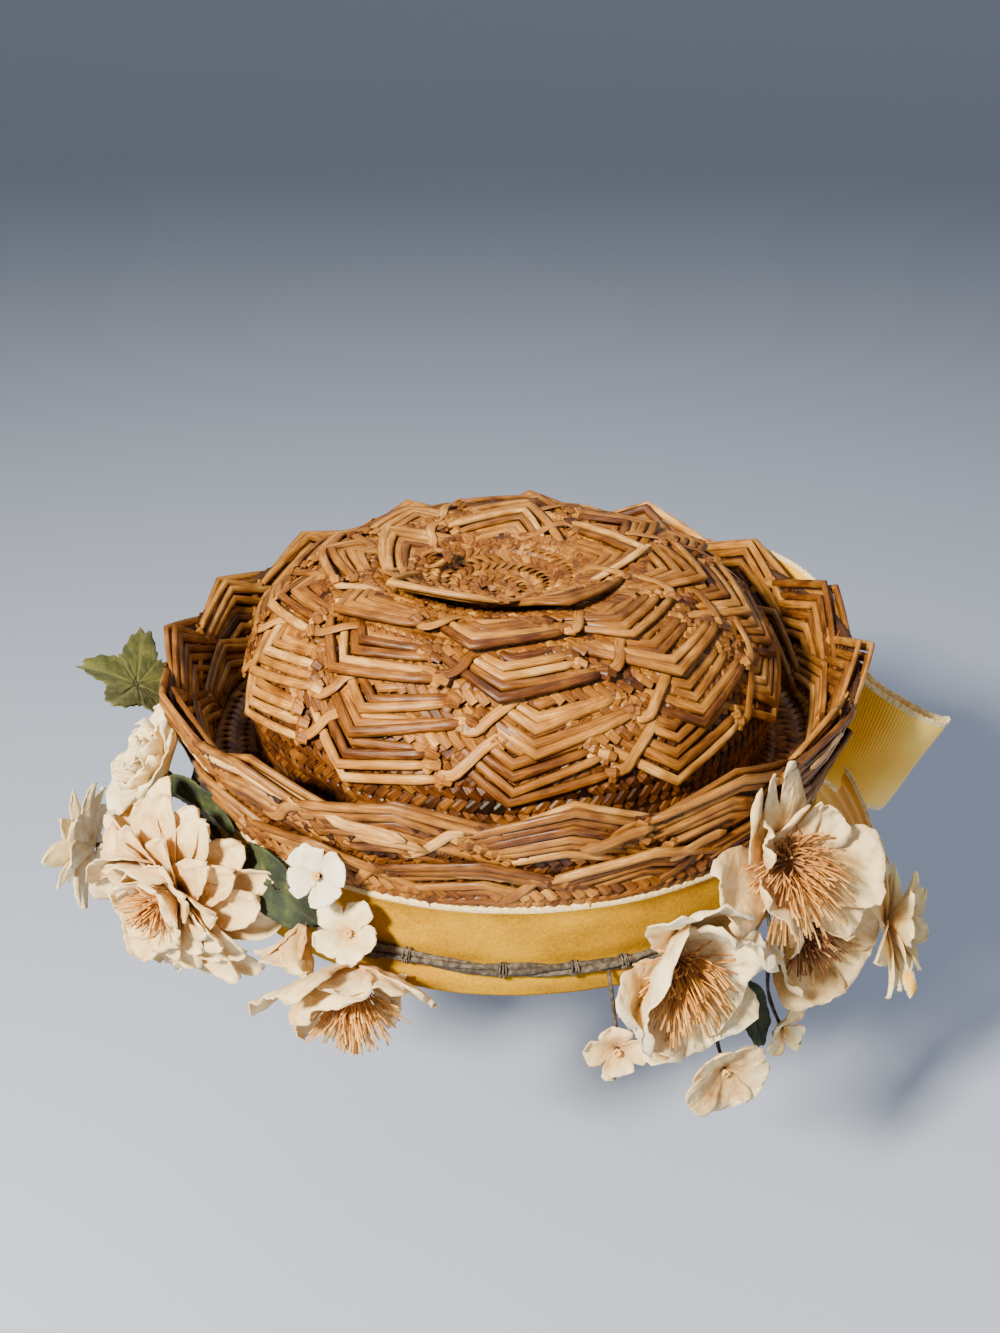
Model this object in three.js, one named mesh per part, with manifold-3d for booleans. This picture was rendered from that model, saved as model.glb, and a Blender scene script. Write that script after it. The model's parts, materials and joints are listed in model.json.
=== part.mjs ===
// A small straw bonnet: a low crown and a turned-up brim sewn from pointed straw plait, a velvet ribbon
// band with a bow behind, and a wired garland of silk flowers round the front. Millimetres, +Z up.
// The origin is the centre of the head opening, in the plane of the band's lower edge. The front faces
// -Y, and an azimuth is in degrees from the front towards +X.
import * as THREE from "three";
import { mergeVertices } from "three/addons/utils/BufferGeometryUtils.js";
import Module from "manifold-3d";

const wasm = await Module();
wasm.setup();

// Driving dimensions
const RIM_RADIUS = 115;
const RIM_HEIGHT = 70;
const CROWN_RADIUS = 87.5;
const CROWN_TOP = 90;
const BAND_RADIUS = 103.4;
const BAND_HEIGHT = 32;
const BAND_WALL = 1.6;
const STRAW_WALL = 1.7; // between the lapped edges of the plait
const PLAIT_LAP = 1.5; // how far a lapped edge of plait stands out from the row below
const POINT_DEPTH = 7.5; // from the tips of the plait's points to the notches between them
const STEM_RADIUS = 1.6;
const STEM_TRACK = BAND_RADIUS + STEM_RADIUS + 0.5; // radius of the garland stem's centre line
const PETAL_WALL = 1.1;
const GAP = 0.3; // between pieces that touch
const AROUND = 60; // steps round the crown and brim

const TAU = Math.PI * 2;
const radians = THREE.MathUtils.degToRad;
const mix = THREE.MathUtils.lerp;

// Materials

const finish = (color, roughness) => new THREE.MeshStandardMaterial({ color, roughness, metalness: 0 });
const STRAW = finish("#c08a4a", 0.45);
const VELVET = finish("#d9a92f", 0.9);
const STEM = finish("#6d6557", 0.85);
const PETAL = finish("#ecd9b8", 0.8);
const STAMEN = finish("#c98a4c", 0.75);
const LEAF = finish("#4b5429", 0.8);
const BUD = finish("#e6e0d4", 0.45);

// Places and shapes

// The point at an azimuth, a radius and a height.
function place(azimuth, radius, height) {
  const a = radians(azimuth);
  return new THREE.Vector3(radius * Math.sin(a), -radius * Math.cos(a), height);
}

// A direction at an azimuth and an elevation above the horizon.
function heading(azimuth, elevation) {
  const e = radians(elevation);
  return place(azimuth, Math.cos(e), Math.sin(e));
}

// A value read from a table's column at an azimuth, easing from row to row all the way round.
function aroundTable(rows, column, azimuth) {
  const at = ((azimuth + 180) % 360 + 360) % 360 - 180;
  const after = rows.findIndex((row) => row.azimuth > at);
  const next = rows[after < 0 ? 0 : after];
  const last = rows[(rows.indexOf(next) + rows.length - 1) % rows.length];
  const span = (next.azimuth - last.azimuth + 360) % 360;
  const share = ((at - last.azimuth + 360) % 360) / span;
  return mix(last[column], next[column], THREE.MathUtils.smoothstep(share, 0, 1));
}

// The outline of a plait's points, from 0 in a notch to 1 at a tip. The lead is the share of a point
// that runs up to its tip.
function pointWave(turns, lead) {
  const t = turns - Math.floor(turns);
  return t < lead ? t / lead : (1 - t) / (1 - lead);
}

// A closed surface over rings of points. With loop the last ring joins the first, and otherwise the
// end rings are closed by fans. Its faces are turned to point out.
function skin(rings, loop = false) {
  const size = rings[0].length;
  const points = rings.flat();
  const faces = [];
  const quads = loop ? rings.length : rings.length - 1;
  for (let i = 0; i < quads; i++) {
    const a = i * size;
    const b = ((i + 1) % rings.length) * size;
    for (let j = 0; j < size; j++) {
      const k = (j + 1) % size;
      faces.push(a + j, a + k, b + k, a + j, b + k, b + j);
    }
  }
  if (!loop) {
    for (const [ring, first, turned] of [[rings[0], 0, true], [rings.at(-1), points.length - size, false]]) {
      const middle = ring.reduce((sum, p) => sum.add(p), new THREE.Vector3()).divideScalar(size);
      const hub = points.push(middle) - 1;
      for (let j = 0; j < size; j++) {
        const k = (j + 1) % size;
        faces.push(hub, first + (turned ? k : j), first + (turned ? j : k));
      }
    }
  }
  return facingOut(new THREE.BufferGeometry().setFromPoints(points).setIndex(faces));
}

function facingOut(geometry) {
  const at = (i) => new THREE.Vector3().fromBufferAttribute(geometry.attributes.position, i);
  const index = geometry.index.array;
  let volume = 0;
  for (let i = 0; i < index.length; i += 3) {
    volume += at(index[i]).dot(at(index[i + 1]).cross(at(index[i + 2])));
  }
  if (volume < 0) {
    for (let i = 0; i < index.length; i += 3) {
      [index[i + 1], index[i + 2]] = [index[i + 2], index[i + 1]];
    }
  }
  return geometry;
}

function toSolid(geometry) {
  const bare = geometry.clone();
  bare.deleteAttribute("normal");
  bare.deleteAttribute("uv");
  const merged = mergeVertices(bare, 1e-4);
  return new wasm.Manifold(new wasm.Mesh({
    numProp: 3,
    vertProperties: new Float32Array(merged.attributes.position.array),
    triVerts: new Uint32Array(merged.index.array),
  }));
}

function toGeometry(solid) {
  const mesh = solid.getMesh();
  return new THREE.BufferGeometry()
    .setAttribute("position", new THREE.BufferAttribute(mesh.vertProperties, 3))
    .setIndex(new THREE.BufferAttribute(mesh.triVerts, 1));
}

// Several closed pieces fused into one body.
function fuse(geometries) {
  return toGeometry(geometries.map(toSolid).reduce((sum, part) => sum.add(part)));
}

function named(name, geometry, material) {
  geometry.computeVertexNormals();
  const mesh = new THREE.Mesh(geometry, material);
  mesh.name = name;
  return mesh;
}

// A round rod along a list of points, thinner at its far end by the taper.
function rod(points, radius, sides = 6, taper = 1) {
  return skin(points.map((point, i) => {
    const ahead = points[Math.min(i + 1, points.length - 1)].clone();
    const along = ahead.sub(points[Math.max(i - 1, 0)]).normalize();
    const side = new THREE.Vector3(0, 0, 1).cross(along);
    if (side.length() < 0.1) side.set(1, 0, 0);
    side.normalize();
    const up = along.clone().cross(side);
    const r = radius * mix(1, taper, i / (points.length - 1));
    return Array.from({ length: sides }, (_, j) => point.clone()
      .addScaledVector(side, r * Math.cos((j / sides) * TAU))
      .addScaledVector(up, r * Math.sin((j / sides) * TAU)));
  }));
}

// Straw crown

// The crown's meridian, from its sunken tip to its foot inside the brim.
const CROWN_MERIDIAN = [
  { radius: 0, height: CROWN_TOP - 4 },
  { radius: 28, height: CROWN_TOP - 1.5 },
  { radius: 47, height: CROWN_TOP - 0.5 },
  { radius: 63, height: CROWN_TOP - 4.5 },
  { radius: 75, height: CROWN_TOP - 12 },
  { radius: 83, height: CROWN_TOP - 23 },
  { radius: CROWN_RADIUS - 1, height: CROWN_TOP - 33 },
  { radius: CROWN_RADIUS - 2, height: CROWN_TOP - 46 },
  { radius: CROWN_RADIUS - 2, height: BAND_HEIGHT + 1.4 },
];
const meridian = new THREE.SplineCurve(CROWN_MERIDIAN.map((row) => new THREE.Vector2(row.radius, row.height)));
const MERIDIAN_LENGTH = meridian.getLength();

// The rows of plait from the tip down: where the tips of a row's points lie along the meridian, how
// many points go round, and how far the row's edge lifts at the front.
const CROWN_ROWS = [
  { edge: 46, points: 6, lead: 0.4, lift: 2.0 },
  { edge: 62, points: 10, lead: 0.5, lift: 0.8 },
  { edge: 77, points: 12, lead: 0.4, lift: 0 },
  { edge: 92, points: 12, lead: 0.4, lift: 0 },
];
const TIP_SHIFT = -5; // the innermost row is sewn off centre, towards -X
const CROWN_SHOULDER = 106; // the widest place, in the channel between crown and brim
const INNER_STATIONS = [104, 86, 68, 44, 5];

// A point of the crown at a distance along the meridian, standing off it by an offset.
function onCrown(along, azimuth, offset) {
  const u = THREE.MathUtils.clamp(along / MERIDIAN_LENGTH, 0, 1);
  const at = meridian.getPointAt(u);
  const tangent = meridian.getTangentAt(u);
  const point = place(azimuth, at.x - tangent.y * offset, at.y + tangent.x * offset);
  point.x += TIP_SHIFT * THREE.MathUtils.smoothstep(1 - at.x / CROWN_RADIUS, 0, 1);
  return point;
}

function crownRing(stationAt) {
  return Array.from({ length: AROUND }, (_, i) => {
    const azimuth = (i / AROUND) * 360;
    const { along, offset } = stationAt(azimuth);
    return onCrown(along, azimuth, offset);
  });
}

function crownGeometry() {
  const plain = (along, offset) => crownRing(() => ({ along, offset }));
  const rings = [plain(4, PLAIT_LAP * 0.6), plain(CROWN_ROWS[0].edge / 2, PLAIT_LAP)];
  for (const { edge, points, lead, lift } of CROWN_ROWS) {
    const notch = (azimuth) => edge - POINT_DEPTH * (1 - pointWave((azimuth / 360) * points, lead));
    const raised = (azimuth) => PLAIT_LAP + lift * Math.max(0, Math.cos(radians(azimuth + 15)));
    rings.push(crownRing((azimuth) => ({ along: notch(azimuth), offset: raised(azimuth) })));
    rings.push(crownRing((azimuth) => ({ along: notch(azimuth) + 0.2, offset: 0 })));
  }
  rings.push(plain(CROWN_SHOULDER, 0), plain(MERIDIAN_LENGTH, 0), plain(MERIDIAN_LENGTH, -STRAW_WALL));
  for (const along of INNER_STATIONS) rings.push(plain(along, -STRAW_WALL));
  return skin(rings);
}

// Straw brim

// How the brim's rim departs from a level circle, by azimuth: out, and up.
const RIM_WAVE = [
  { azimuth: -160, lean: -1, lift: 0 },
  { azimuth: -136, lean: -3, lift: -3 },
  { azimuth: -112, lean: -4, lift: -4 },
  { azimuth: -88, lean: -3, lift: -1 },
  { azimuth: -60, lean: 0.5, lift: 0 },
  { azimuth: -30, lean: 1, lift: -2 },
  { azimuth: 0, lean: 0, lift: 0 },
  { azimuth: 90, lean: 0, lift: 0 },
  { azimuth: 130, lean: 0, lift: -1 },
  { azimuth: 160, lean: 0, lift: 2 },
];
const RIM_POINTS = 15;
const RIM_TURN = -4; // turns the rim's points about the crown
const FLOOR_INNER = CROWN_RADIUS - 6.5;
const FLOOR_TOP = BAND_HEIGHT + 1;
const FLOOR_WALL = 2.4;
const SKIRT_FOOT = BAND_HEIGHT - 5; // the straw tucks inside the ribbon

// The brim's section: a floor under the crown's foot, the turned-up wall with two lapped rows of
// plait outside and two inside, and a short skirt inside the ribbon. The share is of the wall's height
// above its foot, and the point is how far the corner follows the plait's points.
const BRIM_SECTION = [
  { radius: FLOOR_INNER, height: FLOOR_TOP, share: 0, point: 0 },
  { radius: 99, height: FLOOR_TOP, share: 0, point: 0 },
  { radius: 106.5, height: 47, share: 0.35, point: 0.5 },
  { radius: RIM_RADIUS - 2.2, height: RIM_HEIGHT, share: 1, point: 1 },
  { radius: RIM_RADIUS + 1, height: RIM_HEIGHT, share: 1, point: 1 },
  { radius: 108, height: 48.5, share: 0.4, point: 0.6 },
  { radius: 110.4, height: 49.5, share: 0.4, point: 0.6 },
  { radius: BAND_RADIUS + 0.4, height: BAND_HEIGHT + 0.5, share: 0, point: 0 },
  { radius: BAND_RADIUS - BAND_WALL - 2 * GAP, height: BAND_HEIGHT + GAP, share: 0, point: 0 },
  { radius: BAND_RADIUS - BAND_WALL - 2 * GAP, height: SKIRT_FOOT, share: 0, point: 0 },
  { radius: 99, height: SKIRT_FOOT, share: 0, point: 0 },
  { radius: 97.5, height: FLOOR_TOP - FLOOR_WALL, share: 0, point: 0 },
  { radius: FLOOR_INNER, height: FLOOR_TOP - FLOOR_WALL, share: 0, point: 0 },
];

function brimGeometry() {
  return skin(Array.from({ length: AROUND }, (_, i) => {
    const azimuth = (i / AROUND) * 360 + RIM_TURN;
    const notch = POINT_DEPTH * (pointWave((i / AROUND) * RIM_POINTS, 0.5) - 0.8);
    const lean = aroundTable(RIM_WAVE, "lean", azimuth);
    const lift = aroundTable(RIM_WAVE, "lift", azimuth);
    return BRIM_SECTION.map(({ radius, height, share, point }) => place(
      azimuth,
      radius + lean * share + 0.25 * notch * point,
      height + lift * share + notch * point,
    ));
  }), true);
}

// Velvet ribbon

// The band's outer face from its top edge down: it swells above and below the stem that grips it.
const BAND_FACE = [
  { out: 0.6, height: BAND_HEIGHT },
  { out: 1.2, height: 24 },
  { out: 0.8, height: 17 },
  { out: -0.3, height: 11 },
  { out: 0.7, height: 5 },
  { out: -0.3, height: 0 },
];
const BAND_AROUND = 40;

function bandGeometry() {
  return skin(Array.from({ length: BAND_AROUND }, (_, i) => {
    const azimuth = (i / BAND_AROUND) * 360;
    const face = BAND_FACE.map(({ out, height }) => place(azimuth, BAND_RADIUS + out, height));
    const back = [0, BAND_HEIGHT].map((height) => place(azimuth, BAND_RADIUS - BAND_WALL, height));
    return [...face, ...back];
  }), true);
}

// A ribbon bent through a table of stations: the middle of its width, and the way its width runs.
function ribbon(stations) {
  const middles = stations.map(({ x, y, z }) => new THREE.Vector3(x, y, z));
  return skin(middles.map((middle, i) => {
    const { lean, swing, width = RIBBON_WIDTH } = stations[i];
    const along = middles[Math.min(i + 1, middles.length - 1)].clone().sub(middles[Math.max(i - 1, 0)]);
    const across = new THREE.Vector3(Math.sin(radians(lean)) * Math.cos(radians(swing)),
      Math.sin(radians(lean)) * Math.sin(radians(swing)), Math.cos(radians(lean)));
    const out = along.cross(across).normalize();
    const bowed = (share, side) => middle.clone()
      .addScaledVector(across, share * width)
      .addScaledVector(out, side * RIBBON_WALL / 2 + (0.25 - share * share) * RIBBON_WALL);
    return [bowed(-0.5, 1), bowed(0, 1), bowed(0.5, 1), bowed(0.5, -1), bowed(0, -1), bowed(-0.5, -1)];
  }));
}

const RIBBON_WIDTH = 39;
const RIBBON_WALL = 1.2;
const KNOT_SIDES = 8;

// The bow's loop. It comes forward from the knot below the brim, folds back at the right, and goes
// back to the knot standing outside the brim. The lean tips the ribbon's width from upright, towards
// the swing measured from +X.
const BOW_LOOP = [
  { x: 86, y: 67, z: 20, lean: 3, swing: 40 },
  { x: 97, y: 53, z: 21, lean: 4, swing: 35 },
  { x: 107, y: 34, z: 23, lean: 9, swing: 30 },
  { x: 114, y: 18, z: 25, lean: 18, swing: 20 },
  { x: 123, y: 9, z: 22, lean: 25, swing: 10 },
  { x: 134, y: 6, z: 17, lean: 28, swing: 10 },
  { x: 142, y: 9, z: 13, lean: 30, swing: 10 },
  { x: 145.5, y: 14, z: 12, lean: 30, swing: 12 },
  { x: 144, y: 20, z: 13, lean: 28, swing: 15 },
  { x: 137, y: 28, z: 16, lean: 22, swing: 20 },
  { x: 128, y: 36, z: 20, lean: 14, swing: 25 },
  { x: 120, y: 45, z: 27, lean: 8, swing: 30 },
  { x: 111, y: 54, z: 36, lean: 5, swing: 30 },
  { x: 100, y: 66, z: 42, lean: 4, swing: 35 },
  { x: 88, y: 80, z: 42, lean: 4, swing: 40 },
  { x: 79, y: 85, z: 35, lean: 4, swing: 45 },
  { x: 75, y: 83, z: 27, lean: 4, swing: 45 },
];
// The turn of ribbon that ties the loop to the band.
const KNOT = { azimuth: 133, radius: 110.3, height: 20, width: 15, tall: 28, deep: 9 };
// The tail comes forward under the loop and narrows to a twisted end below the flowers at the right.
const TAIL = [
  { x: 98.3, y: 40.5, z: 3, lean: 2, swing: 30, width: 20 },
  { x: 103.4, y: 26, z: -2, lean: 2, swing: 20, width: 22 },
  { x: 108.5, y: 10, z: -8, lean: 4, swing: 10, width: 22 },
  { x: 115, y: -8, z: -11, lean: 8, swing: 0, width: 19 },
  { x: 121, y: -28, z: -15, lean: 12, swing: 0, width: 14 },
  { x: 125, y: -45, z: -20, lean: 14, swing: 0, width: 9 },
  { x: 128, y: -57, z: -27, lean: 16, swing: 0, width: 7 },
  { x: 131, y: -62, z: -34, lean: 20, swing: 0, width: 4 },
];

function knotGeometry() {
  const { azimuth, radius, height, width, tall, deep } = KNOT;
  const out = place(azimuth, 1, 0);
  const along = heading(azimuth + 90, 0);
  const middle = place(azimuth, radius, height);
  return skin([[-0.5, 0.75], [-0.3, 1], [0.3, 1], [0.5, 0.75]].map(([share, full]) =>
    Array.from({ length: KNOT_SIDES }, (_, j) => {
      const a = ((j + 0.5) / KNOT_SIDES) * TAU;
      const point = middle.clone().addScaledVector(along, share * width);
      point.addScaledVector(out, (deep / 2) * full * Math.cos(a));
      point.z += (tall / 2) * full * Math.sin(a);
      return point;
    })));
}

// Garland stem

// The paper-bound wires run round the front of the band, from the left flowers to the right ones.
const STEM_RUN = [
  { azimuth: -84, height: 21, out: 1 },
  { azimuth: -60, height: 19, out: 1 },
  { azimuth: -40, height: 16, out: 0.6 },
  { azimuth: -20, height: 13, out: 0.2 },
  { azimuth: 0, height: 10.6, out: 0 },
  { azimuth: 20, height: 10, out: 0 },
  { azimuth: 45, height: 11, out: 0 },
  { azimuth: 66, height: 12, out: 0 },
];
const STEM_STEPS = 26;
const STEM_SIDES = 5;

function stemPoint(azimuth) {
  const { height, out } = Object.fromEntries(["height", "out"].map((c) => [c, aroundTable(STEM_RUN, c, azimuth)]));
  return place(azimuth, STEM_TRACK + out, height);
}

function stemGeometry() {
  const [first, last] = [STEM_RUN[0].azimuth, STEM_RUN.at(-1).azimuth];
  const run = Array.from({ length: STEM_STEPS + 1 }, (_, i) => stemPoint(mix(first, last, i / STEM_STEPS)));
  return rod(run, STEM_RADIUS, STEM_SIDES);
}

// Flowers. Each is made at the origin with its face towards +Z, and then turned and placed.

// One whorl of petals as a thin star-shaped dish. The shoulder is how full a petal is beside its tip,
// from 0.5 for a pointed petal to 1 for a broad one, and the notch is how far in its petals part. The
// bend is the share of the petals' length at which they curve, or 0 for straight ones.
function whorl({ petals, core, radius, notch, shoulder, raise, curl = 0, cup = 0, level = 0, turn = 0, bend = 0.6 }) {
  const slope = Math.tan(radians(raise));
  const outline = [notch, mix(notch, 1, shoulder), 1, mix(notch, 1, shoulder)];
  const ring = (share, wall) => Array.from({ length: petals * outline.length }, (_, j) => {
    const a = (j / (petals * outline.length) + turn / petals) * TAU;
    const reach = radius * outline[j % outline.length];
    const r = mix(core, reach, share);
    const middle = j % outline.length === 2 ? cup * radius * share : 0;
    const ripple = 1 + 0.12 * Math.sin(2.4 * Math.floor((j + 1) / outline.length) + 1);
    const rise = level + slope * r * ripple + curl * radius * share * share - middle;
    return new THREE.Vector3(r * Math.cos(a), r * Math.sin(a), rise + wall);
  });
  const shares = bend ? [0, bend, 1] : [0, 1];
  return skin([...shares.map((share) => ring(share, 0)), ...shares.toReversed().map((share) => ring(share, PETAL_WALL))]);
}

// A round head such as a flower's core or a bud.
function knob(radius, height, sides = 8) {
  return skin([-1, -0.3, 0.5, 1].map((level) => Array.from({ length: sides }, (_, j) => {
    const r = radius * Math.max(0.4, Math.sqrt(1 - level * level));
    return new THREE.Vector3(r * Math.cos((j / sides) * TAU), r * Math.sin((j / sides) * TAU), (level * height) / 2);
  })));
}

// A bowl of broad lapped petals, open towards +Z, with a lobed and waved rim.
function bowl({ radius, depth, lobes, ruffle, squeeze = 1, steps = 20 }) {
  const profile = [[0.1, 0], [0.55, 0.12], [0.88, 0.5], [1, 1]];
  const ring = ([out, up], inside) => Array.from({ length: steps }, (_, j) => {
    const a = (j / steps) * TAU;
    const lobe = 1 - 0.16 * up * Math.pow(Math.abs(Math.cos((a * lobes) / 2)), 4);
    const wave = ruffle * up * (0.6 * Math.sin(a * lobes + 1) + 0.4 * Math.sin(a * 3 + 2));
    const wall = inside ? PETAL_WALL : 0;
    const r = Math.max(radius * out * lobe - wall, 1) + wave * 0.5;
    const z = depth * up * lobe + wave + wall * (1 - up);
    return new THREE.Vector3(r * Math.cos(a) * squeeze, r * Math.sin(a), z);
  });
  return skin([...profile.map((row) => ring(row, false)), ...profile.toReversed().map((row) => ring(row, true))]);
}

// A brush of stamens: locks that spread from a domed head.
function brush({ radius, height, locks, spread }) {
  const parts = [knob(radius * 0.4, height * 0.5, 6)];
  for (let i = 0; i < locks; i++) {
    const turn = i * 2.39996; // the golden angle
    const lean = spread * Math.sqrt((i + 0.5) / locks);
    const way = new THREE.Vector3(Math.sin(lean) * Math.cos(turn), Math.sin(lean) * Math.sin(turn), Math.cos(lean));
    const reach = mix(height, radius, Math.sin(lean));
    parts.push(rod([way.clone().multiplyScalar(radius * 0.15), way.multiplyScalar(reach)], radius * 0.13, 3, 0.7));
  }
  return parts;
}

const FLOWER_KINDS = {
  dahlia: () => [
    whorl({ petals: 11, core: 5, radius: 37, notch: 0.55, shoulder: 0.62, raise: 4, curl: -0.3, cup: 0.03 }),
    whorl({ petals: 8, core: 4, radius: 27, notch: 0.45, shoulder: 0.62, raise: 24, cup: 0.04, level: -1, turn: 0.4, bend: 0 }),
  ],
  daisy: () => [
    whorl({ petals: 8, core: 3, radius: 20, notch: 0.42, shoulder: 0.66, raise: 10, curl: -0.15, cup: 0.05 }),
    whorl({ petals: 6, core: 2, radius: 14, notch: 0.42, shoulder: 0.66, raise: 40, cup: 0.06, turn: 0.3, bend: 0 }),
  ],
  blossom: () => [
    whorl({ petals: 5, core: 1, radius: 10, notch: 0.5, shoulder: 0.9, raise: 18, cup: 0.06, bend: 0 }),
  ],
  wide_blossom: () => [
    whorl({ petals: 5, core: 1.5, radius: 15, notch: 0.5, shoulder: 0.9, raise: 8, curl: -0.2, cup: 0.06 }),
  ],
  rose: () => [
    whorl({ petals: 4, core: 3, radius: 23, notch: 0.6, shoulder: 0.9, raise: 22, curl: 0.2, cup: 0.08, level: -0.6 }),
    whorl({ petals: 3, core: 2, radius: 13, notch: 0.55, shoulder: 0.9, raise: 50, cup: 0.1, level: -1.2, turn: 0.4, bend: 0 }),
  ],
  poppy: () => [bowl({ radius: 25, depth: 17, lobes: 5, ruffle: 1.6 })],
  tall_poppy: () => [bowl({ radius: 27, depth: 19, lobes: 4, ruffle: 2, squeeze: 0.8 })],
  small_poppy: () => [bowl({ radius: 20, depth: 15, lobes: 5, ruffle: 1.5 })],
  deep_poppy: () => [bowl({ radius: 21, depth: 22, lobes: 5, ruffle: 1.5 })],
  bell: () => [bowl({ radius: 10, depth: 14, lobes: 5, ruffle: 1.2, steps: 15 })],
  brush: () => brush({ radius: 14, height: 15, locks: 8, spread: 1.3 }),
  small_brush: () => brush({ radius: 10, height: 12, locks: 7, spread: 1.1 }),
  bud: () => [knob(3.2, 8, 6)],
};

// Leaves lie along +X with their faces up: an outline of lobes about a spine.
const LEAF_KINDS = {
  lobed: { length: 34, width: 36, lobes: 5, depth: 0.4, droop: -0.15 },
  oval: { length: 26, width: 14, lobes: 1, depth: 0, droop: -0.25 },
  narrow: { length: 19, width: 8, lobes: 1, depth: 0, droop: -0.2 },
};
const LEAF_STEPS = 20;

function leafGeometry({ length, width, lobes, depth, droop }) {
  return skin([1, 0].map((top) => Array.from({ length: LEAF_STEPS }, (_, j) => {
    const a = (j / LEAF_STEPS) * TAU;
    const reach = 1 - depth * (0.5 - 0.5 * Math.cos(a * lobes));
    const x = (length / 2) * (1 - depth + Math.cos(a) * reach);
    const y = (width / 2) * Math.sin(a) * reach;
    return new THREE.Vector3(x, y, (droop * x * x) / length + 0.2 * Math.abs(y) + top * PETAL_WALL);
  })));
}

// The flowers, buds and leaves in the order they are wired on. Each row gives the place of the
// piece's foot, the way it faces, its turn about that way, and where its stalk meets the stem.
const GARLAND = [
  { name: "dahlia_left", kind: "dahlia", azimuth: -54, radius: 125, height: 16, faces: [-50, -8], turn: 10, meets: -56 },
  { name: "daisy_far_left", kind: "daisy", azimuth: -79, radius: 142, height: -1, faces: [-95, 5], turn: 0, meets: -80 },
  { name: "rose_left", kind: "rose", azimuth: -67, radius: 122, height: 45, faces: [-75, 34], turn: 20, meets: -72 },
  { name: "blossom_left", kind: "blossom", azimuth: -27.5, radius: 116, height: 41.5, faces: [-20, 30], turn: 12, meets: -28 },
  { name: "blossom_crumpled", kind: "blossom", azimuth: -24, radius: 113, height: 22, faces: [-10, 35], turn: 60, meets: -23 },
  { name: "bell_left", kind: "bell", azimuth: -33, radius: 111, height: 17, faces: [-30, -42], turn: 0, meets: -33 },
  { name: "poppy_left", kind: "deep_poppy", azimuth: -24, radius: 114.5, height: 9.5, faces: [10, -42], turn: 0, meets: -20 },
  { name: "poppy_front", kind: "tall_poppy", azimuth: 24, radius: 112, height: 13, faces: [20, -4], turn: 0, meets: 24 },
  { name: "poppy_upper", kind: "poppy", azimuth: 41.5, radius: 117, height: 34, faces: [35, 30], turn: 20, meets: 40 },
  { name: "poppy_lower", kind: "small_poppy", azimuth: 53, radius: 111, height: -3, faces: [52, -20], turn: 15, meets: 54 },
  { name: "blossom_low_left", kind: "blossom", azimuth: 15.5, radius: 113, height: -15, faces: [0, 5], turn: 0, meets: 15 },
  { name: "blossom_low", kind: "wide_blossom", azimuth: 32, radius: 119, height: -30, faces: [20, -5], turn: 0, meets: 33 },
  { name: "blossom_low_right", kind: "blossom", azimuth: 45, radius: 118, height: -30, faces: [40, 0], turn: 0, meets: 47 },
  { name: "daisy_right", kind: "daisy", azimuth: 61, radius: 134, height: -3, faces: [66, 14], turn: 0, meets: 62 },
  { name: "bud_left", kind: "bud", azimuth: -68, radius: 118, height: 32, faces: [-70, 30], turn: 0, meets: -68 },
  { name: "bud_right", kind: "bud", azimuth: 43, radius: 114, height: 0, faces: [43, -20], turn: 0, meets: 43 },
];
const BRUSHES = [
  { flower: "poppy_left", kind: "small_brush", lift: 7 },
  { flower: "poppy_front", kind: "brush", lift: 6 },
  { flower: "poppy_upper", kind: "brush", lift: 6 },
  { flower: "poppy_lower", kind: "small_brush", lift: 5 },
];
const LEAVES = [
  { name: "leaf_lobed", kind: "lobed", azimuth: -88, radius: 116, height: 43, points: [-88, 50], turn: 0, meets: -82 },
  { name: "leaf_dark_upper", kind: "oval", azimuth: -50, radius: 109, height: 33, points: [-135, 20], turn: 0, meets: -50 },
  { name: "leaf_dark_lower", kind: "oval", azimuth: -46, radius: 109, height: 32, points: [36, -22], turn: 0, meets: -47 },
  { name: "leaf_right", kind: "narrow", azimuth: 38, radius: 111, height: -7, points: [60, -66], turn: 0, meets: 38.5 },
];

// A straight wired stalk from a piece's foot to the garland stem, in the piece's own frame.
function stalk(mesh, meets, radius = 0.9) {
  const foot = new THREE.Vector3(1, 0, 0.6);
  const joint = mesh.worldToLocal(stemPoint(meets));
  const reach = joint.length() - STEM_RADIUS - 2 * GAP;
  return rod([foot, joint.normalize().multiplyScalar(reach)], radius, 4);
}

function setInPlace(mesh, { azimuth, radius, height }, zAxis, turn) {
  mesh.position.copy(place(azimuth, radius, height));
  mesh.quaternion.setFromUnitVectors(new THREE.Vector3(0, 0, 1), zAxis);
  mesh.rotateZ(radians(turn));
  mesh.updateMatrixWorld(true);
}

function flower(row) {
  const mesh = named(row.name, new THREE.BufferGeometry(), PETAL);
  setInPlace(mesh, row, heading(...row.faces), row.turn);
  mesh.geometry = fuse([...FLOWER_KINDS[row.kind](), stalk(mesh, row.meets)]);
  mesh.geometry.computeVertexNormals();
  if (row.kind === "bud") mesh.material = BUD;
  return mesh;
}

function stamens({ flower: host, kind, lift }) {
  const row = GARLAND.find(({ name }) => name === host);
  const mesh = named(`${host}_stamens`, fuse(FLOWER_KINDS[kind]()), STAMEN);
  setInPlace(mesh, row, heading(...row.faces), row.turn);
  mesh.translateZ(lift);
  return mesh;
}

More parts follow.
